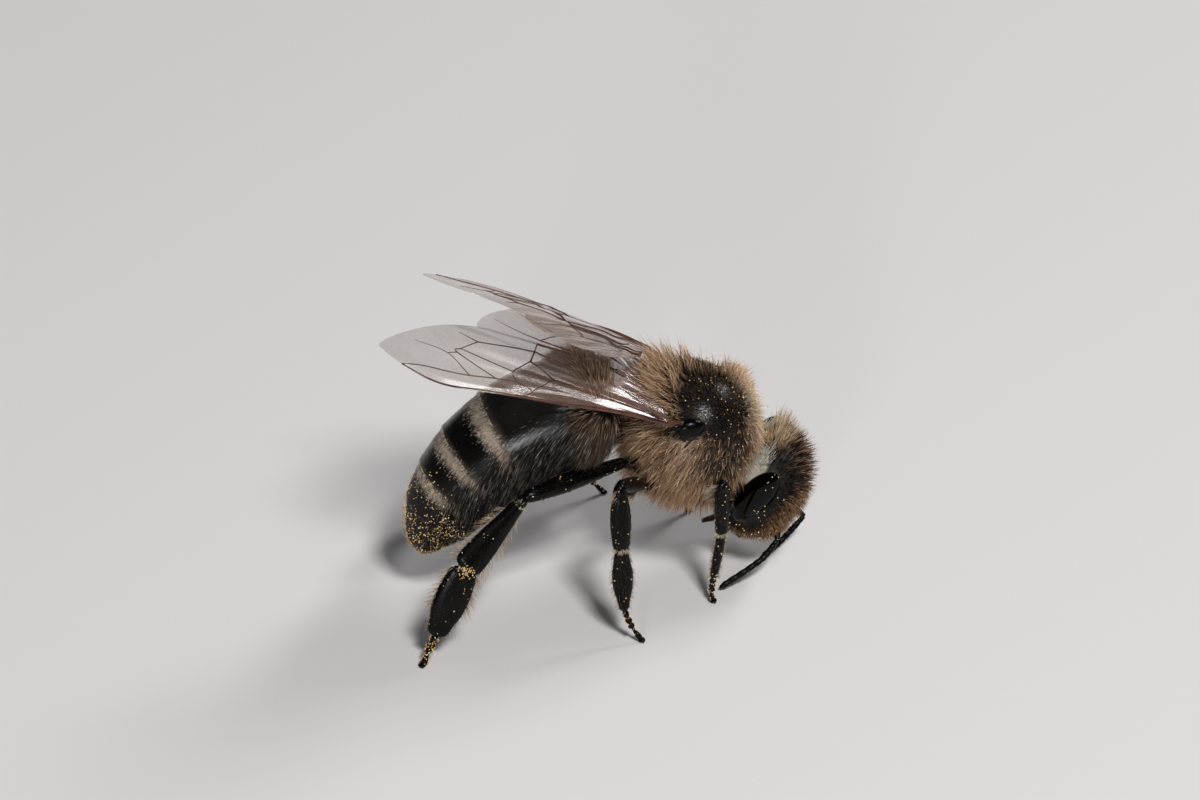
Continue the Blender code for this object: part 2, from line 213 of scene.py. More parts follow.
# %% Head
def head_skin(ways):
    """Points and normals of the head for unit directions: across, ahead and above."""
    full = (np.abs(ways) ** HEAD_FULLNESS).sum(axis=1) ** (-1.0 / HEAD_FULLNESS)
    across, ahead, above = (ways * full[:, None]).T
    narrowing = 1.0 - CHEEK_TAPER * np.maximum(-above, 0.0) ** 1.3
    local = np.stack([across * HEAD_HALF.x * narrowing, ahead * HEAD_HALF.y, above * HEAD_HALF.z], axis=1)
    front = np.maximum(ahead, 0.0)
    local[:, 1] += 0.20 * hump(ways, (0.0, 0.80, -0.60), 0.42) * front  # clypeus
    local[:, 1] += 0.06 * hump(ways, (0.0, 0.98, 0.18), 0.30) * front + 0.14 * front
    for side in SIDES.values():
        local[:, 1] -= 0.10 * hump(ways, (0.24 * side, 0.97, -0.10), 0.13) * front  # feeler sockets
    normals = unit(ways / np.array(HEAD_HALF))
    return local @ HEAD_AXES + np.array(HEAD_CENTRE), normals @ HEAD_AXES


print("head, mm:", [round(2 * half, 2) for half in HEAD_HALF])

# %% [markdown]
# The abdomen is six rings that slide into each other like the parts of a telescope. Its axis is a
# cubic curve and its outline a formula, and each ring's rear rim stands a little over the next.

# %% Abdomen
ABDOMEN_AXIS = [
    ABDOMEN_START,
    Vector((-4.55, 0.0, 6.22)),
    Vector((-6.70, 0.0, 4.85)),
    Vector((-8.10, 0.0, 1.62)),
]
ABDOMEN_RADIUS = 1.93
ABDOMEN_NARROWING = 0.40
ABDOMEN_WIDEST = 0.22
ABDOMEN_BREADTH = 1.07
ABDOMEN_HEIGHT = 0.96
ABDOMEN_COAT = 0.13  # how far the shell lies inside the outline of the hair
RING_ENDS = [0.0, 0.20, 0.46, 0.62, 0.745, 0.86, 1.0]
RING_RIM = 0.055  # how far a ring's rear rim stands over the ring behind it
BAND_WIDTHS = (0.052, 0.043, 0.038)  # pale felt on rings 3, 4 and 5, as shares of the whole axis
BAND_BLUR = 0.006


def axis_place(t):
    points = np.array(ABDOMEN_AXIS)
    s = 1.0 - t
    weights = np.stack([s**3, 3 * s * s * t, 3 * s * t * t, t**3], axis=-1)
    return weights @ points


def axis_heading(t):
    points = np.array(ABDOMEN_AXIS)
    s = 1.0 - t
    weights = np.stack([s * s, 2 * s * t, t * t], axis=-1)
    return unit(weights @ (points[1:] - points[:-1]))


def outline_radius(t):
    back = np.clip((ABDOMEN_WIDEST - t) / (ABDOMEN_WIDEST + 0.03), 0, 1)
    rear = np.clip((t - ABDOMEN_WIDEST) / (1.0 - ABDOMEN_WIDEST), 0, 1)
    before = ABDOMEN_RADIUS * np.sqrt(1.0 - back**2.4)
    after = (ABDOMEN_RADIUS - ABDOMEN_NARROWING * rear) * np.sqrt(np.maximum(1.0 - rear**5, 0.006))
    return np.where(t < ABDOMEN_WIDEST, before, after)


def ring_share(t):
    """The ring that holds each place, and how far along it the place lies."""
    number = np.clip(np.searchsorted(RING_ENDS, t, side="right") - 1, 0, 5)
    ends = np.array(RING_ENDS)
    return number, (t - ends[number]) / (ends[number + 1] - ends[number])


def shell_radius(t):
    number, along = ring_share(t)
    rim = np.where(number < 5, RING_RIM * (along**1.5 - 1.0), -RING_RIM)
    return np.maximum(outline_radius(t) - ABDOMEN_COAT * np.minimum(outline_radius(t), 1.0) + rim, 0.05)


def abdomen_skin(t, angle):
    """Points and normals; angle 0 is the back, and positive is the bee's left."""
    heading = axis_heading(t)
    left = np.array((0.0, 1.0, 0.0))
    up = np.cross(left, heading)
    radius = shell_radius(t)[..., None]
    over, beside = np.cos(angle)[..., None] * up, np.sin(angle)[..., None] * left
    points = axis_place(t) + over * radius * ABDOMEN_HEIGHT + beside * radius * ABDOMEN_BREADTH
    narrowing = (outline_radius(t + 0.01) - outline_radius(t - 0.01)) / 0.02 / 8.0
    return points, unit(over + beside - narrowing[..., None] * heading)


def band_amount(t):
    """1 on the pale felt at the front of rings 3, 4 and 5, and 0 elsewhere."""
    amount = np.zeros_like(t)
    for begin, width in zip(RING_ENDS[2:5], BAND_WIDTHS):
        past_edge = np.abs(t - begin - width / 2) - width / 2
        amount = np.maximum(amount, 1.0 / (1.0 + np.exp(past_edge / BAND_BLUR)))
    return amount


print("abdomen's greatest width, mm:", round(2 * ABDOMEN_RADIUS * ABDOMEN_BREADTH, 2))

# %% [markdown]
# ## One skin
# Head, neck, thorax, waist and abdomen are one continuous shell on the bee. Each is made as a
# closed mesh first. Long parts are a row of rings that are bridged to each other, which gives full
# control of each cross-section, and round ones are a sphere whose points are pushed into place.

# %% Rows of rings and round balls
def loft(bm, stations, sides):
    """Skin a row of elliptic rings; each station is a centre, a width vector and a depth vector."""
    rings = []
    for index, (centre, width, depth) in enumerate(stations):
        width, depth = Vector(width), Vector(depth)
        ahead = width.cross(depth).normalized()
        place = Matrix.Translation(Vector(centre)) @ Matrix((width, depth, ahead)).transposed().to_4x4()
        ends = index in (0, len(stations) - 1)
        made = bmesh.ops.create_circle(bm, cap_ends=ends, segments=sides, radius=1.0, matrix=place)
        rings.append({edge for vert in made["verts"] for edge in vert.link_edges})
    for first, second in zip(rings, rings[1:]):
        bmesh.ops.bridge_loops(bm, edges=list(first | second))
    return bm


def ball(segments, rings, place):
    """A sphere whose points are moved by a function of their directions."""
    bm = bmesh.new()
    bmesh.ops.create_uvsphere(bm, u_segments=segments, v_segments=rings, radius=1.0)
    ways = np.array([vert.co for vert in bm.verts])
    for vert, point in zip(bm.verts, place(unit(ways))):
        vert.co = point
    return bm


def frame_along(direction, side):
    """Axes of a cross-section: its width along side, its depth across both, and the direction."""
    ahead = direction.normalized()
    width = (side - ahead * side.dot(ahead)).normalized()
    return width, ahead.cross(width), ahead


square = frame_along(Vector((1.0, 0.0, 0.0)), Vector((0.0, 1.0, 0.0)))
print("axes of a cross-section along X:", [tuple(axis) for axis in square])

# %% [markdown]
# The abdomen's rings follow its bent axis, closer together at the tip so that it ends round. The
# neck and the waist are short tubes, a little narrower in the middle, that reach into both sides.

# %% Abdomen, neck and waist
RING_JOIN = 0.0015  # half the step from one ring's rim to the start of the next, along the axis
TUBE_STEPS = 8


def abdomen_mesh():
    stations = []
    places = []
    for begin, end in zip(RING_ENDS, RING_ENDS[1:]):
        steps = 9 if end < 1.0 else 16
        for step in range(steps + 1):
            share = step / steps if end < 1.0 else math.sin(step / steps * math.pi / 2)
            places.append(min(begin + RING_JOIN + (end - begin - 2 * RING_JOIN) * share, 0.9995))
    for t in places:
        t = np.array(t)
        heading = Vector(axis_heading(t))
        radius = float(shell_radius(t))
        width, depth, _ = frame_along(heading, Vector((0.0, 1.0, 0.0)))
        stations.append((axis_place(t), width * radius * ABDOMEN_BREADTH, depth * radius * ABDOMEN_HEIGHT))
    return loft(bmesh.new(), stations, 72)


def tube_mesh(start, end, wide, deep):
    width, depth, _ = frame_along(end - start, Vector((0.0, 1.0, 0.0)))
    stations = []
    for step in range(TUBE_STEPS + 1):
        share = step / TUBE_STEPS
        slim = 1.0 - 0.18 * math.sin(math.pi * share)
        stations.append((start.lerp(end, share), width * wide * slim, depth * deep * slim))
    return loft(bmesh.new(), stations, 32)


print("axis ends, mm:", [[round(value, 2) for value in axis_place(np.array(t))] for t in (0.0, 1.0)])

# %% [markdown]
# The five closed meshes are united with an exact Boolean, so no gap or seam shows between them.
# The result is taken as a bmesh, and the five things it was made from are removed again.

# %% Unite the five parts
def temporary(name, bm):
    bmesh.ops.recalc_face_normals(bm, faces=bm.faces)
    mesh = bpy.data.meshes.new(name)
    bm.to_mesh(mesh)
    bm.free()
    thing = bpy.data.objects.new(name, mesh)
    bpy.context.scene.collection.objects.link(thing)
    return thing


def unite(things):
    """The exact union of closed meshes, as one bmesh; the things themselves are removed."""
    first = things[0]
    for other in things[1:]:
        join = first.modifiers.new("join", "BOOLEAN")
        join.operation = "UNION"
        join.solver = "EXACT"
        join.object = other
    evaluated = first.evaluated_get(bpy.context.evaluated_depsgraph_get())
    bm = bmesh.new()
    bm.from_mesh(evaluated.to_mesh())
    for thing in things:
        bpy.data.objects.remove(thing, do_unlink=True)
    return bm


neck_ends = [THORAX_CENTRE.lerp(HEAD_CENTRE, share) for share in (0.45, 0.90)]
waist_ends = [Vector((-0.85, 0.0, 4.85)), Vector((-2.75, 0.0, 5.20))]
flesh = {
    "thorax_part": ball(80, 56, lambda ways: thorax_skin(ways)[0]),
    "neck_part": tube_mesh(*neck_ends, 0.72, 0.66),
    "head_part": ball(96, 72, lambda ways: head_skin(ways)[0]),
    "waist_part": tube_mesh(*waist_ends, 0.52, 0.46),
    "abdomen_part": abdomen_mesh(),
}
skin_bm = unite([temporary(name, bm) for name, bm in flesh.items()])
print("open edges of the skin:", sum(not edge.is_manifold for edge in skin_bm.edges))

# %% [markdown]
# ## Shell
# A bee's shell is chitin: dark brown to black, hard and shiny where it is bare. It is duller where
# hair grows from it. Two attributes on the mesh carry its markings and its polish, and fine pits
# in the bump break up the highlight as the real shell's pores do.

# %% Chitin
CHITIN_IOR = 1.50  # a little under bare chitin's 1.56, for the wax on it
PATCHES_PER_MM = 0.9  # browner and blacker patches of the shell, 1.1 mm across


def shell_material(name, dark, brown, rough, pits, gloss, marked=False):
    """Rough is a range, pits are their spacing and depth in millimetres, gloss scales the mirroring."""
    spacing, depth = pits
    material, tree, shader = start_material(
        name, IOR=CHITIN_IOR, Specular_IOR_Level=gloss, Coat_Weight=0.12 * gloss, Coat_Roughness=0.14
    )
    place = add_node(tree, "ShaderNodeTexCoord").outputs["Object"]
    cloudy = {"Vector": place, "Scale": PATCHES_PER_MM / MM, "Detail": 4.0}
    patches = add_node(tree, "ShaderNodeTexNoise", cloudy).outputs["Fac"]
    porous = {"Vector": place, "Scale": 1.0 / (spacing * MM), "Detail": 2.0}
    pores = add_node(tree, "ShaderNodeTexNoise", porous).outputs["Fac"]
    browner = add_node(tree, "ShaderNodeMapRange", [patches, 0.42, 0.68]).outputs["Result"]
    shades = {0: browner, 6: srgb(dark), 7: srgb(brown)}
    colour = add_node(tree, "ShaderNodeMix", shades, data_type="RGBA").outputs[2]
    roughness = add_node(tree, "ShaderNodeMapRange", [patches, 0.3, 0.7, *rough]).outputs["Result"]
    if marked:
        marking = add_node(tree, "ShaderNodeAttribute", attribute_name="marking")
        polish = add_node(tree, "ShaderNodeAttribute", attribute_name="polish").outputs["Fac"]
        shades = {0: marking.outputs["Alpha"], 6: colour, 7: marking.outputs["Color"]}
        colour = add_node(tree, "ShaderNodeMix", shades, data_type="RGBA").outputs[2]
        smoother = [polish, 0.0, 1.0, rough[1], rough[0]]
        roughness = add_node(tree, "ShaderNodeMapRange", smoother).outputs["Result"]
    pitted = {"Height": pores, "Strength": 0.6, "Distance": depth * MM}
    bump = add_node(tree, "ShaderNodeBump", pitted).outputs["Normal"]
    tree.links.new(colour, shader.inputs["Base Color"])
    tree.links.new(roughness, shader.inputs["Roughness"])
    tree.links.new(bump, shader.inputs["Normal"])
    return material


BODY_PITS = (0.050, 0.012)
LIMB_PITS = (0.035, 0.008)
skin_shell = shell_material(
    "chitin_dull_under_hair", "#080707", "#15100d", (0.17, 0.66), BODY_PITS, 0.22, marked=True
)
plate_shell = shell_material(
    "chitin_polished_plate", "#050505", "#0d0b0a", (0.16, 0.60), BODY_PITS, 0.8, marked=True
)
limb_shell = shell_material("chitin_polished_black", "#040404", "#0b0908", (0.18, 0.34), LIMB_PITS, 0.13)
brown_shell = shell_material("chitin_brown", "#1c100a", "#3b2213", (0.20, 0.38), (0.035, 0.006), 0.3)
print("shell finishes:", [shell.name for shell in (skin_shell, plate_shell, limb_shell, brown_shell)])

# %% [markdown]
# ### Markings
# The bands, the bare back of the thorax and the whitish nape belong to the shell and the hair
# alike. So they are written on the skin's points from the same functions that plant the hair,
# and no picture is wrapped round the bee.

# %% Where the markings lie
SCUTUM_BARE = (0.20, 0.59, 0.78)  # middle of the worn patch on each side of the thorax, level frame
SCUTUM_BARE_WIDTH = 0.71
FLANK_THIN = (0.36, 0.93, 0.08)  # thinner, shorter hair above the front legs
NAPE_PATCH = (0.48, -0.70, 0.52)  # in the head's own directions


def smooth(value, low, high):
    share = np.clip((value - low) / (high - low), 0, 1)
    return share * share * (3 - 2 * share)


def nearest_on_axis(points):
    t = np.linspace(0, 1, 320)
    places = axis_place(t)
    return t[np.linalg.norm(points[:, None, :] - places[None], axis=2).argmin(1)]


def bare_amount(ways):
    return both_sides(ways, SCUTUM_BARE, SCUTUM_BARE_WIDTH)


def nape_amount(ways):
    """1 on the whitish patches behind the eyes."""
    return smooth(both_sides(ways, NAPE_PATCH, 0.42, across=0), 0.35, 0.60)


def write_point_values(mesh, name, kind, values):
    attribute = mesh.attributes.new(name, kind, "POINT")
    field = "color" if kind == "FLOAT_COLOR" else "value"
    attribute.data.foreach_set(field, np.ascontiguousarray(values, np.float32).ravel())


print("pale bands start along the abdomen's axis at", RING_ENDS[2:5])

# %% [markdown]
# The marks are worked out for all points at once. Each share runs from 0 to 1 and fades smoothly:
# how far a point is on the abdomen, the thorax, the back, a band or the nape. The colour's fourth
# value says how strongly the mark covers the bare shell.

# %% Mark the skin
bmesh.ops.dissolve_degenerate(skin_bm, edges=skin_bm.edges[:], dist=1e-5)
skin_points = np.array([vert.co for vert in skin_bm.verts])
skin = finish_piece(
    "body_skin",
    skin_bm,
    [skin_shell, plate_shell],
    ["head", "neck", "thorax", "petiole"] + [f"abdomen_{number}" for number in range(1, 7)],
)
on_axis = nearest_on_axis(skin_points)
on_abdomen = smooth(-skin_points[:, 0], 1.6, 2.0)
thorax_ways = unit(skin_points - np.array(THORAX_CENTRE))
head_distance = np.linalg.norm(skin_points - np.array(HEAD_CENTRE), axis=1)
on_thorax = (1 - on_abdomen) * smooth(head_distance, 1.6, 2.2)
ring, _ = ring_share(on_axis)
on_back = smooth(skin_points[:, 2] - axis_place(on_axis)[:, 2], 0.2, 1.0)
polish = 0.25 + 0.75 * on_abdomen * on_back * (ring <= 3) + 0.70 * on_thorax * bare_amount(thorax_ways)
polish = np.clip(polish - 0.6 * on_abdomen * band_amount(on_axis), 0, 1)
neck_line = np.array(HEAD_CENTRE - THORAX_CENTRE)
neck_share = (skin_points - np.array(THORAX_CENTRE)) @ neck_line / (neck_line @ neck_line)
marking = np.tile(np.array(srgb("#1f1712")), (len(skin_points), 1))
marking[:, 3] = 0.35 * on_thorax * (1 - bare_amount(thorax_ways))
banded = (on_abdomen * band_amount(on_axis))[:, None]
marking = marking * (1 - banded) + banded * np.array([*srgb("#9b8c7b")[:3], 0.9])
pale_neck = (smooth(neck_share, 0.52, 0.57) * smooth(-neck_share, -0.72, -0.66))[:, None]
pale_neck = pale_neck * (np.linalg.norm(np.cross(thorax_ways, unit(neck_line)), axis=1) < 0.40)[:, None]
in_head = (skin_points - np.array(HEAD_CENTRE)) @ HEAD_AXES.T
head_ways = unit(in_head / np.array(HEAD_HALF))
behind_head = ((1 - on_thorax) * nape_amount(head_ways))[:, None]
pale_neck = np.maximum(pale_neck, behind_head)
marking = marking * (1 - pale_neck) + pale_neck * np.array([*srgb("#b8b2a4")[:3], 0.95])
on_plate = on_abdomen * (ring == 1) * on_back
for face in skin.data.polygons:
    face.material_index = int(min(on_plate[corner] for corner in face.vertices) > 0.15)
write_point_values(skin.data, "marking", "FLOAT_COLOR", marking)
write_point_values(skin.data, "polish", "FLOAT", polish)

# %% [markdown]
# ## Eyes
# A worker's compound eye is a tall oval of nearly 7000 facets about 0.02 mm across. From a little
# way off it reads as glossy black, so the facets are a faint bump, drawn at 0.03 mm. Three small
# simple eyes sit on the top of the head.

# %% Eyes
FACET = 0.03
FACET_RISE = 0.004
EYE_CLOUDS_PER_MM = 0.7  # blacker and browner parts of the eye, 1.4 mm across
SIMPLE_EYE_RADIUS = 0.12
SIMPLE_EYE_SUNK = 0.06


def eye_material():
    material, tree, shader = start_material(
        "cornea_black",
        Roughness=0.20,
        IOR=1.40,
        Specular_IOR_Level=0.04,
        Coat_Weight=0.25,
        Coat_Roughness=0.05,
    )
    place = add_node(tree, "ShaderNodeTexCoord").outputs["Object"]
    cloudy = {"Vector": place, "Scale": EYE_CLOUDS_PER_MM / MM}
    clouds = add_node(tree, "ShaderNodeTexNoise", cloudy).outputs["Fac"]
    lighter = add_node(tree, "ShaderNodeMapRange", [clouds, 0.4, 0.7]).outputs["Result"]
    shades = {0: lighter, 6: srgb("#010101"), 7: srgb("#040303")}
    colour = add_node(tree, "ShaderNodeMix", shades, data_type="RGBA").outputs[2]
    facets = add_node(tree, "ShaderNodeTexVoronoi", {"Vector": place, "Scale": 1.0 / (FACET * MM)})
    domed = {"Height": facets.outputs["Distance"], "Strength": 0.25, "Distance": FACET_RISE * MM}
    bump = add_node(tree, "ShaderNodeBump", domed, invert=True)
    tree.links.new(colour, shader.inputs["Base Color"])
    tree.links.new(bump.outputs["Normal"], shader.inputs["Normal"])
    return material


cornea = eye_material()


def eye_place(side):
    right, front, up = head_axes()
    lean = Matrix.Rotation(EYE_LEAN * side, 3, front)
    axes = np.array([lean @ right, lean @ front, lean @ up])

    def place(ways):
        return np.array(head_point(EYE_PLACE, side)) + (ways * np.array(EYE_HALF)) @ axes

    return place


for side_name, side in SIDES.items():
    eye = ball(48, 32, eye_place(side))
    finish_piece(f"eye_{side_name}_cornea", eye, [cornea], [f"eye_{side_name}"])

simple_eyes = bmesh.new()
for across, ahead in ((0.0, 0.36), (-0.20, 0.12), (0.20, 0.12)):  # a triangle on the crown
    way = unit(np.array([[across, ahead, 0.92]]))
    point, normal = head_skin(way)
    place = Matrix.Translation(Vector(point[0] - normal[0] * SIMPLE_EYE_SUNK))
    bmesh.ops.create_uvsphere(
        simple_eyes, u_segments=16, v_segments=10, radius=SIMPLE_EYE_RADIUS, matrix=place
    )
finish_piece("simple_eyes", simple_eyes, [cornea])

# %% [markdown]
# ## Legs
# Each leg is a chain of hard tubes: coxa, femur, tibia, the long first foot joint and four short
# ones, then two claws and a pad. A segment is lofted from a profile of widths along its length,
# with rounded ends, broad face outward as on the real leg.

# %% Leg sizes
LEGS = {
    "front": [(1.05, -0.55, 3.30), (1.32, -1.08, 2.55), (0.86, -2.30, 4.20), (0.86, -2.40, 2.45)]
    + [(0.62, -2.38, 0.85), (0.56, -2.46, -0.12)],
    "mid": [(-0.55, -0.75, 3.45), (-1.30, -1.30, 3.85), (-2.45, -3.00, 5.05), (-2.51, -3.50, 3.05)]
    + [(-2.49, -3.85, 1.10), (-2.03, -4.05, -0.12)],
    "hind": [(-0.80, -0.60, 3.90), (-1.85, -1.05, 4.58), (-5.27, -2.50, 4.69), (-7.29, -3.35, 2.94)]
    + [(-8.27, -3.75, 0.95), (-8.70, -3.95, -0.12)],
}
LEFT_STEP = {"front": 0.35, "mid": 0.55, "hind": 2.10}
STEP_SPREAD = 1.5
LEG_PARTS = ["coxa", "femur", "tibia", "basitarsus"]
# For each part: width at the start, a third, two thirds and the end, then depth in the same way.
LEG_PROFILES = {
    "front": {
        "coxa": ((0.50, 0.56, 0.46, 0.36), (0.50, 0.50, 0.44, 0.36)),
        "femur": ((0.34, 0.50, 0.50, 0.38), (0.34, 0.44, 0.44, 0.36)),
        "tibia": ((0.34, 0.45, 0.46, 0.40), (0.32, 0.38, 0.38, 0.32)),
        "basitarsus": ((0.28, 0.31, 0.29, 0.24), (0.24, 0.26, 0.25, 0.22)),
    },
    "mid": {
        "coxa": ((0.56, 0.60, 0.50, 0.38), (0.54, 0.54, 0.46, 0.36)),
        "femur": ((0.34, 0.50, 0.50, 0.40), (0.34, 0.42, 0.42, 0.36)),
        "tibia": ((0.40, 0.62, 0.66, 0.52), (0.36, 0.42, 0.42, 0.36)),
        "basitarsus": ((0.44, 0.66, 0.62, 0.32), (0.28, 0.34, 0.33, 0.24)),
    },
    "hind": {
        "coxa": ((0.66, 0.66, 0.54, 0.40), (0.60, 0.60, 0.48, 0.38)),
        "femur": ((0.38, 0.54, 0.60, 0.46), (0.38, 0.50, 0.52, 0.44)),
        "tibia": ((0.42, 0.64, 0.84, 0.96), (0.36, 0.36, 0.34, 0.30)),
        "basitarsus": ((0.92, 1.08, 1.04, 0.66), (0.30, 0.34, 0.32, 0.24)),
    },
}
TOE_WIDTHS = {"front": 0.21, "mid": 0.21, "hind": 0.26}


def leg_joints(leg, side):
    joints = []
    for number, (x, y, z) in enumerate(LEGS[leg]):
        shift = LEFT_STEP[leg] * (number / 5.0) ** STEP_SPREAD if side < 0 else 0.0
        joints.append(Vector((x + shift, y * side, z)))
    return joints


for leg in LEGS:
    joints = leg_joints(leg, SIDES["right"])
    print(f"{leg} leg, mm:", [round((end - start).length, 2) for start, end in zip(joints, joints[1:])])

# %% [markdown]
# One leg joint is a function of the place along it and the angle round it. The mesh is lofted from
# that function here, and the hairs and the pollen are planted with it later.

# %% One leg joint
END_ROUNDING = 14.0  # a higher power keeps a joint's width nearer to its ends
PROFILE_PLACES = (0, 0.33, 0.67, 1)


def segment(start, end, outward, widths, depths):
    """A leg joint as a surface: place along it (0 to 1) and angle round it give points and normals."""
    depth, width, ahead = frame_along(end - start, outward)
    width, depth, first, last = np.array(width), np.array(depth), np.array(start), np.array(end)

    def surface(along, angle):
        rounding = np.sqrt(np.maximum(1.0 - np.abs(2 * along - 1.0) ** END_ROUNDING, 0.0))
        eased = smooth(along, -0.02, 1.02)
        wide = (np.interp(eased, PROFILE_PLACES, widths) * rounding / 2)[..., None]
        deep = (np.interp(eased, PROFILE_PLACES, depths) * rounding / 2)[..., None]
        across, out = np.cos(angle)[..., None] * width, np.sin(angle)[..., None] * depth
        points = first + (last - first) * along[..., None] + across * wide + out * deep
        return points, unit(across * deep + out * wide + 1e-9)

    return {"surface": surface, "ahead": np.array(ahead), "ends": (first, last)}


def skin_segment(bm, part, sides=20, steps=16):
    """Loft one leg joint from its surface."""
    places = np.clip((1 - np.cos(np.linspace(0, math.pi, steps))) / 2, 0.003, 0.997)
    stations = []
    for along in places:
        corner, _ = part["surface"](np.array([along, along]), np.array([0.0, math.pi / 2]))
        centre = part["ends"][0] + (part["ends"][1] - part["ends"][0]) * along
        stations.append((centre, corner[0] - centre, corner[1] - centre))
    loft(bm, stations, sides)


print("widest leg joint, mm:", max(max(wide) for leg in LEG_PROFILES.values() for wide, _ in leg.values()))

# %% [markdown]
# The foot ends in four small joints, like a row of hearts, and in two curved claws with a pad
# between them. The last joint stands on the floor.

# %% Toes and claws
TOE_ENDS = (0.0, 0.20, 0.39, 0.56, 1.0)
TOE_WIDENING = (0.55, 0.85, 1.05, 0.95)
LAST_TOE_WIDENING = (0.42, 0.60, 0.80, 0.95)
TOE_FLATNESS = 0.85
ANKLE_HEIGHT = 0.11
CLAW_STEPS = 5
CLAW_BEND = 1.5
CLAW_SIZE = 0.17
PAD_HALF = (0.11, 0.11, 0.055)


def toe_chain(leg, outward, joints):
    """Four small foot joints from the long one down to the floor, the last one longer."""
    start, end = joints[4], joints[5].copy()
    end.z = ANKLE_HEIGHT
    bend = (start + end) / 2 + Vector((-0.06, 0.0, -0.10))
    toes = []
    for first, last in zip(TOE_ENDS, TOE_ENDS[1:]):
        points = []
        for share in (first, last):
            points.append(start * (1 - share) ** 2 + bend * (2 * share * (1 - share)) + end * share**2)
        widening = LAST_TOE_WIDENING if last == 1.0 else TOE_WIDENING
        widths = [TOE_WIDTHS[leg] * share for share in widening]
        toes.append(segment(*points, outward, widths, [width * TOE_FLATNESS for width in widths]))
    return toes


def hook(bm, base, way, down, size):
    """A curved claw that tapers to a point."""
    stations = []
    for step in range(CLAW_STEPS + 1):
        share = step / CLAW_STEPS
        turn = share * CLAW_BEND
        centre = base + way * (size * math.sin(turn)) + down * (size * 0.75 * (1 - math.cos(turn)))
        thick = size * (0.16 - 0.14 * share)
        heading = way * math.cos(turn) + down * (0.75 * math.sin(turn))
        width, depth, _ = frame_along(heading, way.cross(down))
        stations.append((centre, width * thick, depth * thick))
    loft(bm, stations, 6)


def claws_and_pad(bm, last_toe, side):
    foot, ahead = Vector(last_toe["ends"][1]), Vector(last_toe["ahead"])
    ahead.z = 0.0
    ahead = ahead.normalized() if ahead.length > 0.2 else Vector((0.9, -0.4 * side, 0.0)).normalized()
    across = Vector((-ahead.y, ahead.x, 0.0))
    for turn in (-1.0, 1.0):
        way = (ahead * 0.75 + across * (0.65 * turn)).normalized()
        hook(bm, foot + Vector((0.0, 0.0, 0.02)), way, Vector((0.0, 0.0, -1.0)), CLAW_SIZE)
    pad = Matrix.Translation(Vector((foot.x, foot.y, PAD_HALF[2])) + ahead * 0.05)
    place = pad @ Matrix.Diagonal((*PAD_HALF, 1.0))
    bmesh.ops.create_uvsphere(bm, u_segments=14, v_segments=8, radius=1.0, matrix=place)


print("claws, mm long:", round(CLAW_SIZE * CLAW_BEND, 2))

# %% [markdown]
# All six legs come from the same two loops, over the sides and over the three pairs. Each joint
# reaches a little into the next, so the chain has no gaps where it bends.

# %% Six legs
LAP_BACK = 0.07
LAP_AHEAD = 0.05
FACE_TILT = 0.35  # how far the broad faces of the legs look up as well as out
leg_surfaces = {}
for side_name, side in SIDES.items():
    for leg, profiles in LEG_PROFILES.items():
        joints = leg_joints(leg, side)
        outward = Vector((0.0, -side, FACE_TILT))
        bm = bmesh.new()
        parts = {}
        for number, part in enumerate(LEG_PARTS):
            heading = (joints[number + 1] - joints[number]).normalized()
            start = joints[number] - heading * (LAP_BACK if number else 0.0)
            end = joints[number + 1] + heading * LAP_AHEAD
            parts[part] = segment(start, end, outward, *profiles[part])
            skin_segment(bm, parts[part])
        toes = toe_chain(leg, outward, joints)
        for toe in toes:
            skin_segment(bm, toe, sides=12, steps=8)
        claws_and_pad(bm, toes[-1], side)
        parts["toes"] = toes
        leg_surfaces[leg, side_name] = parts
        names = [f"{leg}_{side_name}_{part}" for part in LEG_PARTS + ["tarsus"]]
        finish_piece(f"{leg}_leg_{side_name}", bm, [limb_shell], names)

# %% [markdown]
# ## Feelers and mouth
# A feeler has one long first joint, a short second one and a whip of ten rings. The jaws are
# smooth spoons, and the tongue with its two sheaths is folded back under the head.

# %% Feelers
FEELERS = {
    "right": [(3.08, -0.60, 2.02), (2.87, -1.33, 1.24), (2.26, -1.68, 0.78), (0.93, -1.95, 0.13)],
    "left": [(3.30, 0.16, 2.02), (4.06, 0.17, 0.96), (3.23, -0.15, 0.28), (2.60, -0.60, 0.16)],
}
WHIP_THICKNESS = 0.20
WHIP_RINGS = 10
FEELER_STEPS = 14
SOCKET_RADIUS = 0.17


def smooth_path(points, count):
    """A Catmull-Rom curve through a few points, at even steps of its parameter."""
    points = np.array(points, float)
    padded = np.vstack([2 * points[0] - points[1], points, 2 * points[-1] - points[-2]])
    places = np.linspace(0, len(points) - 1, count)
    number = np.minimum(places.astype(int), len(points) - 2)
    t = (places - number)[:, None]
    before, first, second, after = (padded[number + k] for k in range(4))
    return 0.5 * (
        2 * first
        + (second - before) * t
        + (2 * before - 5 * first + 4 * second - after) * t**2
        + (3 * first - before - 3 * second + after) * t**3
    )


def tube_along(bm, path, radii, sides, flat=1.0, side=Vector((0.0, 1.0, 0.0))):
    stations = []
    for index, point in enumerate(path):
        heading = Vector(path[min(index + 1, len(path) - 1)] - path[max(index - 1, 0)])
        width, depth, _ = frame_along(heading, side)
        stations.append((point, width * radii[index], depth * radii[index] * flat))
    loft(bm, stations, sides)


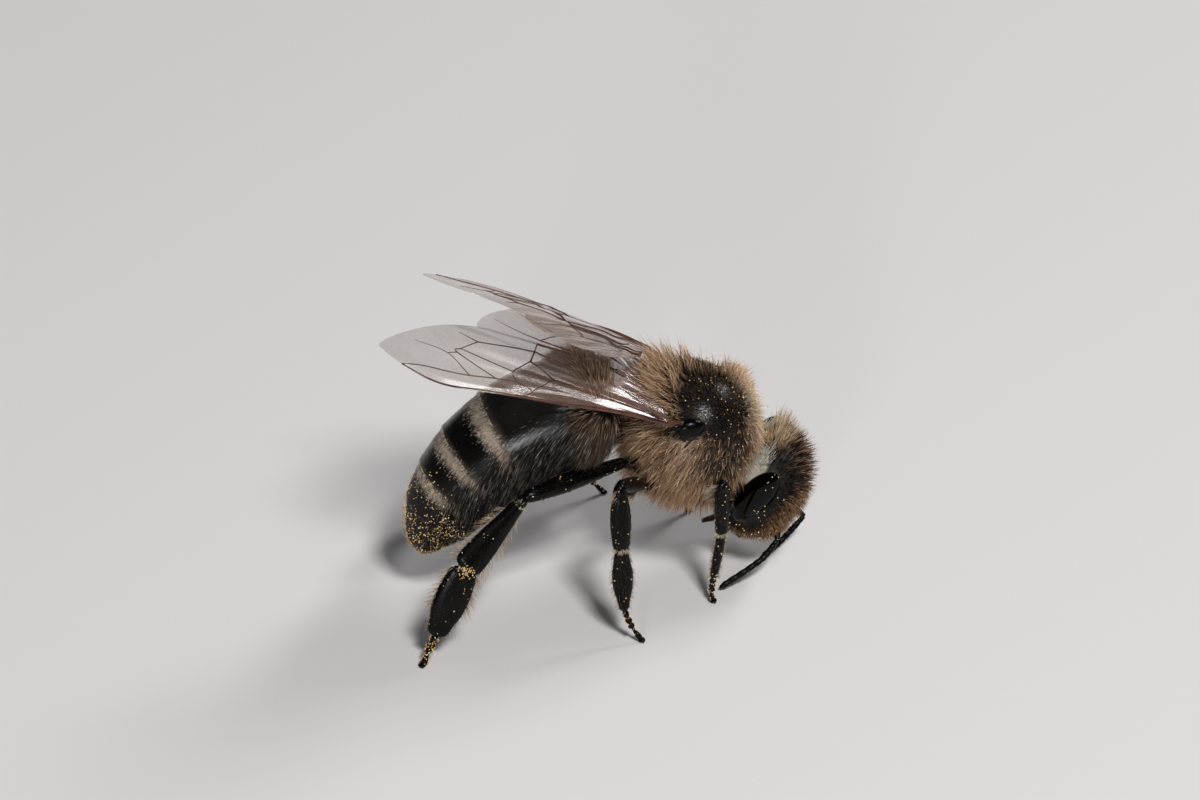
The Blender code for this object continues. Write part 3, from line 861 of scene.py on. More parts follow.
for side_name, points in FEELERS.items():
    bm = bmesh.new()
    socket, elbow, middle, tip = (np.array(point) for point in points)
    first_joint = smooth_path([socket, elbow], FEELER_STEPS)
    share = np.linspace(0, 1, FEELER_STEPS)
    tube_along(bm, first_joint, 0.088 + 0.012 * np.sin(math.pi * share) - 0.03 * (share < 0.08), 16)
    steps = WHIP_RINGS * 6 + 1
    whip = smooth_path([elbow + 0.03 * unit(elbow - socket), middle, tip], steps)
    along = np.linspace(0, WHIP_RINGS, steps)
    grooves = 1.0 - 0.17 * np.exp(-(((along - np.round(along)) / 0.14) ** 2))
    thick = WHIP_THICKNESS / 2 * np.clip(0.74 + along * 0.16, 0, 1.0)
    thick = thick * np.sqrt(np.clip((WHIP_RINGS + 0.12 - along) / 0.7, 0.02, 1.0))
    tube_along(bm, whip, thick * grooves, 16)
    place = Matrix.Translation(Vector(socket))
    bmesh.ops.create_uvsphere(bm, u_segments=16, v_segments=12, radius=SOCKET_RADIUS, matrix=place)
    names = [f"antenna_{side_name}_scape", f"antenna_{side_name}_flagellum"]
    finish_piece(f"feeler_{side_name}", bm, [limb_shell], names)

# %% [markdown]
# The jaws and the tongue are tubes along a bent path too, with a radius for each step. The upper
# lip is a flattened ball. They are browner than the rest, because the shell is thinner there.

# %% Jaws and tongue
JAW_STEPS = 14
TONGUE_STEPS = 16
for side_name, side in SIDES.items():
    bm = bmesh.new()
    root, tip = head_point((0.52, 0.16, -1.18), side), head_point((0.10, 0.30, -1.80), side)
    bend = head_point((0.50, 0.30, -1.60), side)
    path = smooth_path([root, bend, tip], JAW_STEPS)
    radii = np.interp(np.linspace(0, 1, JAW_STEPS), (0, 0.35, 0.85, 1), (0.26, 0.20, 0.24, 0.10))
    tube_along(bm, path, radii, 16, flat=0.55)
    finish_piece(f"jaw_{side_name}", bm, [brown_shell], [f"mandible_{side_name}"])

bm = bmesh.new()
for across, size in ((0.0, 0.15), (-0.13, 0.09), (0.13, 0.09)):
    root, bend = head_point((across, -0.20, -1.10)), head_point((across, -0.36, -1.75))
    path = smooth_path([root, bend, head_point((across * 0.5, -0.70, -2.25))], TONGUE_STEPS)
    tube_along(bm, path, size * np.linspace(1.0, 0.35, TONGUE_STEPS), 12)
lip_half = np.array((0.50, 0.20, 0.26))
lip = ball(24, 16, lambda ways: np.array([head_point(way * lip_half) for way in ways]))
bmesh.ops.translate(lip, verts=lip.verts, vec=head_point((0.0, 0.36, -1.34)) - HEAD_CENTRE)
finish_piece("upper_lip", lip, [brown_shell])
finish_piece("tongue", bm, [brown_shell], ["proboscis"])

# %% [markdown]
# ## Wings
# A wing is a film about 0.01 mm thick, stretched between tubes and pleated near the body, where
# the folds catch the light. Its place on the wing is u, the share of the length from base to tip,
# and w, the distance behind the line from base to tip. The veins follow a few junctions.

# %% Wing shapes
FORE_LENGTH = 9.5
FORE_REAR = 2.45
FORE_WIDEST = 0.62
FORE_FRONT_BOW = 1.00
FORE_FRONT_WIDEST = 0.77
HIND_START = 0.07
HIND_END = 0.645
HIND_CHORD = 1.75
FILM = 0.012
WINGS = {
    "right": {
        "base": (-0.70, -1.80, 6.22),
        "along": (-8.70, 0.45, 3.74),
        "chord": (0.10, 0.99, 0.03),
        "hind_chord": (0.10, 0.96, 0.22),
        "root": (-0.10, -1.72, 6.08),
        "arch": 0.0,
        "twist": 0.25,  # how fast the wing rises behind its front edge, near the body
    },
    "left": {
        "base": (-0.50, 1.75, 6.67),
        "along": (-7.47, -2.60, 5.26),
        "chord": (0.02, -0.95, 0.30),
        "hind_chord": (-0.30, -0.90, 0.28),
        "root": (-0.10, 1.72, 6.10),
        "arch": 0.27,  # how far the wing bows up along its length
        "twist": 0.0,
    },
}


print("fore wing, mm:", FORE_LENGTH, "long; hind wing:", round(FORE_LENGTH * (HIND_END - HIND_START), 2))

# %% [markdown]
# The outline is a front and a rear edge, each a formula of u. The surface between them is bowed,
# folded in pleats near the body and rolled down along the front edge, as a real wing is: that
# roll is what gives the bright line of light along it.

# %% Wing outline and surface
def fore_front(u):
    beyond = np.clip((u - FORE_FRONT_WIDEST) / (1.0 - FORE_FRONT_WIDEST), 0, 1)
    inner = np.sin(math.pi * np.maximum(u, 0.0) ** 2.65)
    return -FORE_FRONT_BOW * np.where(u < FORE_FRONT_WIDEST, inner, (1.0 - beyond**1.9) ** 0.75)


def fore_rear(u):
    inner = FORE_REAR * (np.maximum(u, 0.0) / FORE_WIDEST) ** 0.32
    beyond = np.clip((u - FORE_WIDEST) / (1.0 - FORE_WIDEST), 0, 1)
    return np.where(u < FORE_WIDEST, inner, FORE_REAR * np.maximum(1.0 - beyond**1.55, 0.0) ** 0.85)


def hind_width(u):
    run = np.clip((u - HIND_START) / (HIND_END - HIND_START), 0, 1)
    return HIND_CHORD * np.maximum(np.sin(math.pi * run**0.9), 0.0) ** 0.6


def wing_axes(side_name):
    wing = WINGS[side_name]
    along, chord, hind = (unit(np.array(wing[key])) for key in ("along", "chord", "hind_chord"))
    out = unit(np.cross(along, chord)) * (-1.0 if side_name == "right" else 1.0)
    return np.array(wing["base"]), along * FORE_LENGTH, chord, hind, out


def pleats(u, w):
    """Height of the folds, deepest near the body and gone past the middle of the wing."""
    fan = w / (0.30 + 1.3 * u)
    folds = np.sin(fan * 5.2 + 0.6) * 0.034 + np.sin(fan * 11.0 + 2.0) * 0.019
    return folds * np.exp(-((np.maximum(u, 0.0) / 0.54) ** 2)) + 0.02 * np.sin(7.0 * u + 1.7 * w)


def fore_point(side_name, u, w):
    base, along, chord, _, out = wing_axes(side_name)
    u, w = np.asarray(u, float), np.asarray(w, float)
    bow = np.sin(math.pi * np.clip(u, 0, 1))
    height = pleats(u, w) + 0.10 * np.sin(math.pi * np.clip(w / 2.6, 0, 1)) * bow
    height = height + WINGS[side_name]["arch"] * bow
    rolled = smooth(u, 0.14, 0.32) * (1 - smooth(u, 0.84, 0.96))  # the front edge rolls down
    height = height - 0.08 * np.exp(-(((w - fore_front(u)) / 0.15) ** 2)) * rolled
    height = height + WINGS[side_name]["twist"] * w * np.exp(-((np.maximum(u, 0.0) / 0.40) ** 2))
    return base + along * u[..., None] + chord * w[..., None] + out * height[..., None]


def hind_point(side_name, u, w):
    """On the hind wing w is measured from the fore wing's rear edge."""
    _, _, _, hind, out = wing_axes(side_name)
    u, w = np.asarray(u, float), np.asarray(w, float)
    fold = fore_point(side_name, u, fore_rear(u) - 0.05)
    height = pleats(u + 0.10, w * 1.3 + 2.0) - pleats(u + 0.10, np.full_like(w, 2.0)) - 0.03
    return fold + hind * w[..., None] + out * np.asarray(height)[..., None]


tips = {name: fore_point(name, np.array(1.0), np.array(0.0)) for name in SIDES}
print("wing tips, mm:", {name: [round(value, 2) for value in tip] for name, tip in tips.items()})

# %% [markdown]
# The film is clear, smoky chitin. It lets most light through, more so far from the body, and turns
# denser where it is seen aslant, because the line of sight then meets more of it. Its gloss is
# strong and smooth. The veins are the same chitin, thick enough to be brown.

# %% Wing film
CLOUDS_PER_MM = 0.45  # cloudier and clearer patches of the film, about 2 mm across
SPECKS_PER_MM = 24  # the film's tiny hairs, 0.04 mm apart


def film_material():
    material, tree, shader = start_material(
        "wing_film_smoky",
        Roughness=0.20,
        IOR=1.57,
        Specular_IOR_Level=1.0,
        Coat_Weight=1.0,
        Coat_Roughness=0.10,
    )
    place = add_node(tree, "ShaderNodeTexCoord").outputs["Object"]
    cloudy = {"Vector": place, "Scale": CLOUDS_PER_MM / MM, "Detail": 3.0}
    smoke = add_node(tree, "ShaderNodeTexNoise", cloudy).outputs["Fac"]
    grainy = {"Vector": place, "Scale": SPECKS_PER_MM / MM, "Detail": 2.0}
    specks = add_node(tree, "ShaderNodeTexNoise", grainy).outputs["Fac"]
    reach = add_node(tree, "ShaderNodeAttribute", attribute_name="reach").outputs["Fac"]
    facing = add_node(tree, "ShaderNodeLayerWeight", {"Blend": 0.5}).outputs["Facing"]
    near_body = add_node(tree, "ShaderNodeMapRange", [reach, 0.04, 0.60, 1.0, 0.0]).outputs["Result"]
    browner = add_node(tree, "ShaderNodeMapRange", [smoke, 0.35, 0.65]).outputs["Result"]
    shades = {0: browner, 6: srgb("#846d60"), 7: srgb("#a08c7e")}
    outer = add_node(tree, "ShaderNodeMix", shades, data_type="RGBA").outputs[2]
    shades = {0: near_body, 6: outer, 7: srgb("#74554c")}
    colour = add_node(tree, "ShaderNodeMix", shades, data_type="RGBA").outputs[2]
    total = add_node(tree, "ShaderNodeMapRange", [smoke, 0.3, 0.7, 0.16, 0.26]).outputs["Result"]
    for denser in (
        [near_body, 0.0, 1.0, 0.0, 0.30],  # thicker near the body
        [specks, 0.4, 0.7, 0.0, 0.10],  # fine hairs all over the film
        [facing, 0.55, 0.90, 0.0, 0.62],  # seen aslant, the sight line meets more film
    ):
        more = add_node(tree, "ShaderNodeMapRange", denser).outputs["Result"]
        total = add_node(tree, "ShaderNodeMath", [total, more], operation="ADD").outputs["Value"]
    bump = add_node(tree, "ShaderNodeBump", {"Height": specks, "Strength": 0.35, "Distance": 0.006 * MM})
    tree.links.new(colour, shader.inputs["Base Color"])
    tree.links.new(total, shader.inputs["Alpha"])
    tree.links.new(bump.outputs["Normal"], shader.inputs["Normal"])
    return material


film = film_material()
vein_shell = shell_material("chitin_vein_brown", "#3a2018", "#6e4735", (0.16, 0.30), (0.035, 0.004), 0.5)
print("wing finishes:", film.name, vein_shell.name)

# %% [markdown]
# Each film is a flat grid bent to the wing's surface and given its thickness by solidify. How far
# along the wing each point lies is kept, and written on the mesh for the film's colour.

# %% Film meshes


def film_grid(columns, rows, place):
    """A grid bent to place(u, v) and given the film's thickness."""
    bm = bmesh.new()
    bmesh.ops.create_grid(bm, x_segments=columns, y_segments=rows, size=1.0)
    flat = (np.array([vert.co for vert in bm.verts])[:, :2] + 1.0) / 2.0
    for vert, point in zip(bm.verts, place(flat[:, 0], flat[:, 1])):
        vert.co = point
    bmesh.ops.recalc_face_normals(bm, faces=bm.faces)
    bmesh.ops.solidify(bm, geom=bm.verts[:] + bm.edges[:] + bm.faces[:], thickness=FILM)
    return bm


def along_wing(side_name, bm):
    base, along, _, _, _ = wing_axes(side_name)
    points = np.array([vert.co for vert in bm.verts])
    return (points - base) @ unit(along) / FORE_LENGTH


def fore_film(side_name):
    def place(u, v):
        u = 0.006 + 0.992 * u
        front = fore_front(u)
        rear = np.maximum(fore_rear(u), front + 0.02)
        return fore_point(side_name, u, front + (rear - front) * v)

    return film_grid(110, 40, place)


def hind_film(side_name):
    def place(u, v):
        u = HIND_START + (HIND_END - HIND_START) * (0.01 + 0.98 * u)
        return hind_point(side_name, u, hind_width(u) * v)

    return film_grid(70, 24, place)


film_shapes = {"fore": fore_film, "hind": hind_film}
print("film, mm thick:", FILM)

# %% [markdown]
# The veins are what a bee's wing is known by: three small cells in a row along the front, with a
# long narrow one at the edge. Their junctions are (u, w) places, and each vein runs through some of
# them, with its thickness in millimetres at either end. The hind wing's veins are (u, w) behind
# the fore wing's rear edge.

# %% Vein junctions
JUNCTIONS = {
    "base": (0.0, 0.0),
    "edge_1": (0.14, -0.03),
    "edge_2": (0.33, -0.17),
    "stigma": (0.515, -0.50),
    "edge_3": (0.64, -0.76),
    "edge_4": (0.79, -1.00),
    "cell_tip": (0.925, -0.60),
    "cell_1": (0.846, -0.40),
    "cell_2": (0.760, -0.34),
    "cell_3": (0.689, -0.24),
    "cell_4": (0.598, -0.04),
    "cell_5": (0.525, 0.02),
    "basal": (0.475, -0.20),
    "split": (0.395, 0.62),
    "middle_1": (0.05, 0.16),
    "middle_2": (0.20, 0.40),
    "sub_1": (0.537, 0.49),
    "sub_2": (0.474, 1.16),
    "hook": (0.453, 1.76),
    "edge_hook": (0.442, 2.15),
    "outer_1": (0.650, 1.49),
    "outer_2": (0.713, 1.79),
    "outer_3": (0.714, 0.94),
    "outer_4": (0.727, 0.71),
    "outer_5": (0.761, 0.56),
    "outer_6": (0.871, 0.76),
    "rear_1": (0.06, 0.36),
    "rear_2": (0.188, 0.94),
    "rear_3": (0.282, 1.11),
    "fold_1": (0.154, 1.40),
    "fold_2": (0.207, 1.70),
    "fold_3": (0.302, 1.90),
    "fold_4": (0.366, 2.02),
}
FORE_VEINS = [
    ("base edge_1 edge_2 stigma", 0.17, 0.085),
    ("stigma edge_3 edge_4 cell_tip", 0.085, 0.045),
    ("cell_tip cell_1 cell_2 cell_3 cell_4 cell_5 basal stigma", 0.03, 0.05),
    ("base middle_1 middle_2 split", 0.10, 0.065),
    ("split basal", 0.05, 0.05),
    ("split sub_2", 0.055, 0.055),
    ("cell_5 sub_1 sub_2", 0.04, 0.05),
    ("sub_2 hook", 0.07, 0.06),
    ("hook edge_hook", 0.06, 0.05),
    ("sub_1 outer_3", 0.035, 0.03),
    ("outer_3 outer_4 cell_4", 0.035, 0.035),
    ("cell_3 outer_5 outer_6", 0.035, 0.012),
    ("outer_4 outer_5", 0.03, 0.03),
    ("hook outer_1", 0.042, 0.036),
    ("outer_1 outer_2", 0.036, 0.014),
    ("outer_1 outer_3", 0.036, 0.032),
    ("base rear_1 rear_2 rear_3 hook", 0.08, 0.05),
    ("fold_1 fold_2 fold_3 fold_4 edge_hook", 0.05, 0.075),
]
HIND_VEINS = [
    ([(0.08, 0.05), (0.18, 0.14), (0.30, 0.16), (0.43, 0.20)], 0.08, 0.045),
    ([(0.43, 0.20), (0.50, 0.34), (0.575, 0.62)], 0.04, 0.012),
    ([(0.08, 0.16), (0.17, 0.48), (0.28, 0.66), (0.36, 0.72)], 0.06, 0.035),
    ([(0.36, 0.72), (0.43, 0.20)], 0.035, 0.035),
    ([(0.36, 0.72), (0.43, 0.95), (0.49, 1.20)], 0.032, 0.012),
    ([(0.17, 0.48), (0.22, 0.95), (0.27, 1.28)], 0.035, 0.014),
]
print("veins:", len(FORE_VEINS), "on a fore wing,", len(HIND_VEINS), "on a hind wing")

# %% [markdown]
# A vein is a thin tube that follows the film, a little flattened. The tube at the wing's root
# joins it to the thorax.

# %% Wings
ROOT_STEPS = 8


def run_vein(bm, place, points, first, last):
    path_uw = smooth_path(points, 5 * len(points) + 1)
    path = place(path_uw[:, 0], path_uw[:, 1])
    radii = np.linspace(first, last, len(path)) / 2
    tube_along(bm, path, radii, 6, flat=0.8, side=Vector((0.3, 0.2, 1.0)))


def wing_pieces(side_name):
    for kind, make_film in film_shapes.items():
        bm = make_film(side_name)
        reach = along_wing(side_name, bm)
        node = f"wing_{kind}_{side_name}"
        piece = finish_piece(f"{kind}_film_{side_name}", bm, [film], [node])
        write_point_values(piece.data, "reach", "FLOAT", reach)
    veins = bmesh.new()
    for names, first, last in FORE_VEINS:
        points = [JUNCTIONS[name] for name in names.split()]
        run_vein(veins, lambda u, w: fore_point(side_name, u, w), points, first, last)
    for points, first, last in HIND_VEINS:
        run_vein(veins, lambda u, w: hind_point(side_name, u, w), points, first, last)
    root, base = np.array(WINGS[side_name]["root"]), wing_axes(side_name)[0]
    path = smooth_path([root, (root + base) / 2 + 0.03, base], ROOT_STEPS)
    tube_along(veins, path, np.linspace(0.13, 0.085, ROOT_STEPS), 10)
    finish_piece(f"wing_veins_{side_name}", veins, [vein_shell])


for side_name in SIDES:
    wing_pieces(side_name)

# %% [markdown]
# A tegula, a small shiny scale like a shell, covers each wing's root, with a smaller scale behind
# it. Each is a stretched ball, half sunk in the thorax.

# %% Wing root scales
TEGULA_PLACE = (0.0, -1.72, 5.98)
TEGULA_HALF = (0.46, 0.24, 0.30)
SMALL_SCALE_PLACE = (-0.46, -1.74, 6.12)
SMALL_SCALE_HALF = (0.22, 0.18, 0.14)
for side_name, side in SIDES.items():
    scales = bmesh.new()
    for centre, half in ((TEGULA_PLACE, TEGULA_HALF), (SMALL_SCALE_PLACE, SMALL_SCALE_HALF)):
        place = Matrix.Translation(Vector((centre[0], centre[1] * side, centre[2])))
        place = place @ Matrix.Diagonal((*half, 1.0))
        bmesh.ops.create_uvsphere(scales, u_segments=28, v_segments=18, radius=1.0, matrix=place)
    finish_piece(f"wing_root_scale_{side_name}", scales, [limb_shell])

# %% [markdown]
# ## Hair
# A bee's hairs are stiff, branched like feathers and about 0.02 mm thick, so from a distance they
# look soft. Each one here is a tapered, closed, three-sided strand that bends from its root to its
# tip. Strands grow in small tufts whose tips lean together, and the tufts follow the lie of the
# coat. Joined meshes are built straight from arrays, because there are tens of thousands.

# %% Strands from arrays
PATCH = 0.003  # size of a strand's place on its map
SUNK = 0.04  # how deep a root sits in the shell


def strand_template(bends):
    """Corners of one strand's faces: point number, place round the strand and place along it."""
    corners, starts = [(0, 0, 0), (2, 2, 0), (1, 1, 0)], [0]
    for ring in range(bends):
        for side in range(3):
            low, high = ring * 3, ring * 3 + 3
            after = (side + 1) % 3
            starts.append(len(corners))
            corners += [(low + side, side, ring), (low + after, side + 1, ring)]
            if ring < bends - 1:
                corners += [(high + after, side + 1, ring + 1), (high + side, side, ring + 1)]
            else:
                corners += [(high, side + 0.5, ring + 1)]
    return np.array(corners, float), np.array(starts)


print("faces of a strand with three bends:", len(strand_template(3)[1]))

# %% [markdown]
# A coat is a set of arrays with one row for each strand: root, way, way of the tip, length,
# thickness, colours and a place on the map. A strand's centre line bends from its way to the way
# of its tip, and it tapers to a point. Its root is dark and its tip pale: the pale tip is partly
# the hair's own colour and partly painted light, for light shining through the thin hair.

# %% Coats of strands
TAPER = 0.55


def strands(name, coat, material, bends=3):
    """One coat piece, built straight from the coat's arrays."""
    count = len(coat["root"])
    rng = np.random.default_rng(count)
    steps = np.arange(bends + 1) / bends
    way, tip_way = unit(coat["way"]), unit(coat["tip_way"])
    across = unit(np.cross(way, unit(rng.normal(size=way.shape))))
    other = np.cross(way, across)
    points = np.empty((count, bends * 3 + 1, 3))
    shade = np.empty((count, bends * 3 + 1))
    length, radius = coat["length"][:, None], coat["thick"][:, None] / 2
    for ring in range(bends + 1):
        s = steps[ring]
        centre = coat["root"] + length * (way * s + (tip_way - way) * s * s / 2)
        if ring == bends:
            points[:, -1] = centre
            shade[:, -1] = s
            continue
        for side in range(3):
            turn = side * 2 * math.pi / 3
            round_way = across * math.cos(turn) + other * math.sin(turn)
            points[:, ring * 3 + side] = centre + round_way * radius * (1.0 - TAPER * s * s)
            shade[:, ring * 3 + side] = s
    template, starts = strand_template(bends)
    per_strand = bends * 3 + 1
    mesh = bpy.data.meshes.new(name)
    mesh.vertices.add(count * per_strand)
    row_points = points.reshape(-1, 3) * MM + np.array(BEE_ZERO)
    mesh.vertices.foreach_set("co", row_points.astype(np.float32).ravel())
    mesh.loops.add(count * len(template))
    numbers = template[:, 0].astype(int)[None] + np.arange(count)[:, None] * per_strand
    mesh.loops.foreach_set("vertex_index", numbers.ravel().astype(np.int32))
    mesh.polygons.add(count * len(starts))
    first = starts[None] + np.arange(count)[:, None] * len(template)
    mesh.polygons.foreach_set("loop_start", first.ravel().astype(np.int32))
    mesh.polygons.foreach_set("use_smooth", np.ones(count * len(starts), bool))
    mesh.update(calc_edges=True)
    own_patch = template[None, :, 1:] * PATCH / np.array([3.0, float(bends)])
    charts = coat["chart"][:, None] * (1 - PATCH) + own_patch
    uv = mesh.uv_layers.new(name="OFBake")
    uv.data.foreach_set("uv", charts.astype(np.float32).ravel())
    # The colour runs from the low one at the root to the high one at the tip; the paler tip is partly painted
    # light shining through the thin hair.
    share = shade[:, :, None] ** 0.85
    colours = np.ones((count, per_strand, 4))
    colours[:, :, :3] = coat["low"][:, None] * (1 - share) + coat["high"][:, None] * share
    write_point_values(mesh, "tint", "FLOAT_COLOR", colours)
    print(f"{name}: {count} strands")
    return dress_piece(name, mesh, [material])


# %% [markdown]
# Hair is a horn-like fibre: matt with a faint streak of light, and paler where it is thin. That
# paleness is painted light in the mesh's colours, for light shining through the thin tips. Its
# colours are in the mesh, so one finish serves every coat that shines alike.

# %% Hair finish
STREAKS_PER_MM = 5  # lighter and darker streaks, 0.2 mm apart


def hair_material(name, gloss):
    material, tree, shader = start_material(name, Roughness=0.50, IOR=1.55, Specular_IOR_Level=gloss)
    tint = add_node(tree, "ShaderNodeAttribute", attribute_name="tint").outputs["Color"]
    place = add_node(tree, "ShaderNodeTexCoord").outputs["Object"]
    streaky = {"Vector": place, "Scale": STREAKS_PER_MM / MM}
    streak = add_node(tree, "ShaderNodeTexNoise", streaky).outputs["Fac"]
    bright = add_node(tree, "ShaderNodeMapRange", [streak, 0.3, 0.7, 0.80, 1.15]).outputs["Result"]
    shaded = add_node(tree, "ShaderNodeVectorMath", {0: tint, "Scale": bright}, operation="SCALE")
    tree.links.new(shaded.outputs["Vector"], shader.inputs["Base Color"])
    return material


hair = hair_material("branched_hair_chitin", 0.30)
fine_hair = hair_material("fine_hair_chitin", 0.08)  # lies so flat that it mirrors almost nothing
print("hair finishes:", hair.name, fine_hair.name)

# %% [markdown]
# Every coat is laid out in the same steps. Tufts are scattered over a surface, each with a few
# strands near its middle. The strands are combed along the coat's flow and drawn together at their
# tips, and their colours are mixed from a few shares.

# %% Lay out tufts
def colour_of(code):
    return np.array(srgb(code)[:3])


def tinted(colours, share, other):
    """Colours moved towards other ones, or towards one hex code, by a share for each strand."""
    other = colour_of(other) if isinstance(other, str) else other
    return colours * (1 - share[:, None]) + other * share[:, None]


def mixed(share, first, second):
    """Colours between two hex codes, by a share for each strand."""
    return tinted(colour_of(first), share, second)


def comb(normals, flow, lift):
    """Ways that lean from the surface's normal towards a flow along it; lift 1 stands straight up."""
    along = flow - normals * (flow * normals).sum(1, keepdims=True)
    return unit(normals * lift[:, None] + along * (1.0 - lift[:, None]))


def tufted(rng, tufts, hairs, size):
    """For each strand, the number of its tuft and its offset from the tuft's middle."""
    number = np.repeat(np.arange(tufts), hairs)
    return number, rng.normal(size=(len(number), 3)) * size


def lean(coat, rng, centres, gather, wild):
    """Tips drawn towards the middle of their tuft, and a little disorder."""
    towards = (centres - coat["root"]) * gather
    coat["tip_way"] = unit(coat["tip_way"] + towards + rng.normal(size=towards.shape) * wild)
    coat["way"] = unit(coat["way"] + rng.normal(size=towards.shape) * wild * 0.5)
    return coat


def round_chart(ways):
    """Unwrap directions to a square: turn round the body's long way, and place along it."""
    turn = np.arctan2(ways[:, 1], ways[:, 2]) / (2 * math.pi) + 0.5
    return np.stack([turn, np.arccos(np.clip(ways[:, 0], -1, 1)) / math.pi], axis=1)


def keep_only(coat, kept):
    return {key: values[kept] for key, values in coat.items()}


def joined_coats(coats):
    return {key: np.concatenate([coat[key] for coat in coats]) for key in coats[0]}


straight, flat = comb(np.array([[0, 0, 1.0]] * 2), np.array([[1.0, 0, 0]] * 2), np.array([1.0, 0.0]))
print("a hair combed with lift 1 and 0 points:", straight, flat)

# %% [markdown]
# ### Hair of the thorax
# Two layers: a short dark underfur, and long hairs in wisps whose thin tips end pale, partly in
# their own colour and partly in painted light for the light shining through them. They stand up on
# the top, sweep down and back on the flanks and hang below.
# Most of the top of each side is worn bare, and a pale collar stands round the neck.

# %% Style of the thorax hair
HAIR_ROOT_DARK = "#1b130e"
HAIR_TAN = "#c08e65"
# Tip colour of the wisps: partly their own pale colour, partly painted light shining through them.
HAIR_PALE_AND_BACKLIT = "#fbdfbb"
UPPER_REAR = (-0.35, 0.0, 0.94)
UPPER_FRONT = (0.80, 0.0, 0.60)
COLLAR_WAY = (0.93, -0.12, 0.22)


def thorax_style(level, normals, rng, under):
    """Length, flow, lift and colours of the hair for directions from the middle of the thorax."""
    count = len(level)
    top = smooth(normals[:, 2], 0.15, 0.75)
    below = smooth(-normals[:, 2], 0.05, 0.65)
    front = smooth(level @ NECK_WAY, 0.25, 0.75)
    bare = smooth(bare_amount(level), 0.42, 0.60)
    waist = smooth(level @ WAIST_WAY, 0.45, 0.80)
    thin = smooth(both_sides(level, FLANK_THIN, 0.62), 0.35, 0.75)
    near_neck = smooth(level @ NECK_WAY, 0.66, 0.80)
    collar = np.maximum(near_neck, hump(level, COLLAR_WAY, 0.52) * (1 - thin))
    length = 0.96 + 0.26 * hump(level, UPPER_REAR, 0.62) - 0.34 * hump(level, UPPER_FRONT, 0.55)
    length = length - 0.45 * thin - 0.34 * collar - 0.74 * bare + 0.05 * below
    by_cheek = both_sides(level, (0.75, 0.47, -0.47), 0.42)
    length = length - 0.12 * front * (1 - below) + 0.15 * waist - 0.34 * by_cheek
    flow = np.stack([-0.85 + 0.60 * front * top, 0 * top, -0.85 * (1 - top) + 0.1 * top], axis=1)
    flow[:, 0] += 0.9 * near_neck
    lift = 0.44 + 0.42 * top + 0.16 * below - 0.20 * bare + 0.22 * front * (1 - near_neck)
    tone = rng.random(count)
    high = mixed(tone, HAIR_TAN, HAIR_PALE_AND_BACKLIT)
    brown = ((1 - top) * 0.75 + 0.15) * (rng.random(count) < 0.35)
    high = tinted(high, brown, "#9e6e49")
    low = mixed(rng.random(count), HAIR_ROOT_DARK, "#33261d")
    if under:
        length = length * 0.55
        high = mixed(rng.random(count) ** 2, "#241810", "#6b4f3a")
    high = tinted(high, collar, "#f1dcc0")
    low = tinted(low, 0.8 * collar, "#8f8272")
    tuft = both_sides(level, (-0.30, 0.92, 0.25), 0.20)
    high = tinted(high, tuft, "#e3c4ab")
    low = tinted(low, 0.7 * tuft, "#7a5f4e")
    dark = np.clip(bare + thin * (rng.random(count) < 0.75), 0, 1) * (1 - collar)
    high = tinted(high, dark, "#4a3c33")
    low = tinted(low, dark, "#130e0b")
    return length, flow, np.clip(lift, 0.2, 0.94), low, high, bare, thin, top, below


print("thorax hair runs from", HAIR_ROOT_DARK, "at its root to", HAIR_TAN, "and", HAIR_PALE_AND_BACKLIT)

# %% [markdown]
# The underfur and the wisps differ only in number, length and colour. Both leave the scales of
# the wing roots, the neck and the waist free. Each layer is kept in two pieces, upper and lower.

# %% Plant the thorax hair
def thorax_hair(seed, tufts, hairs, under):
    rng = np.random.default_rng(seed)
    centres = unit(rng.normal(size=(tufts, 3)))
    number, offset = tufted(rng, tufts, hairs, 0.045 if under else 0.075)
    ways = unit(centres[number] + offset)
    middle, _ = thorax_skin(centres)
    points, normals = thorax_skin(ways)
    level = unit(points - np.array(THORAX_CENTRE))
    length, flow, lift, low, high, bare, thin, top, below = thorax_style(level, normals, rng, under)
    near_scale = np.minimum(
        *(np.linalg.norm(points - np.array(TEGULA_PLACE) * (1, side, 1), axis=1) for side in (-1, 1))
    )
    length = length * (0.35 + 0.65 * smooth(near_scale, 0.50, 1.05))
    tuft_size = rng.uniform(0.72, 1.2, tufts)[number]
    length = np.maximum(length * tuft_size * rng.uniform(0.70, 1.12, len(number)), 0.09)
    tuft_way = rng.normal(size=(tufts, 3))[number] * 0.16
    way = unit(comb(normals, flow, lift) + tuft_way)
    droop = np.array([0, 0, -0.35])[None] * (below + 0.4 * (1 - top))[:, None]
    coat = {
        "root": points - normals * SUNK,
        "way": way,
        "tip_way": way + flow * 0.30 + droop,
        "length": length + SUNK,
        "thick": rng.uniform(0.017, 0.028, len(number)),
        "low": low,
        "high": high,
        "chart": round_chart(ways),
    }
    coat = lean(coat, rng, middle[number], 1.2 if under else 2.6, 0.14)
    open_skin = (level @ NECK_WAY < 0.905) & (level @ WAIST_WAY < 0.965) & (near_scale > 0.46)
    kept = open_skin & (rng.random(len(number)) > 0.55 * bare + 0.15 * thin)
    return keep_only(coat, kept), level[kept]


for layer, tufts, hairs, under in (("wisps", 2500, 8, False), ("underfur", 2400, 6, True)):
    coat, level = thorax_hair(11 + under, tufts, hairs, under)
    upper = level[:, 2] > 0.15
    for part, chosen in (("upper", upper), ("lower", ~upper)):
        bends = 2 if under else 3
        strands(f"hair_thorax_{layer}_{part}", keep_only(coat, chosen), hair, bends)

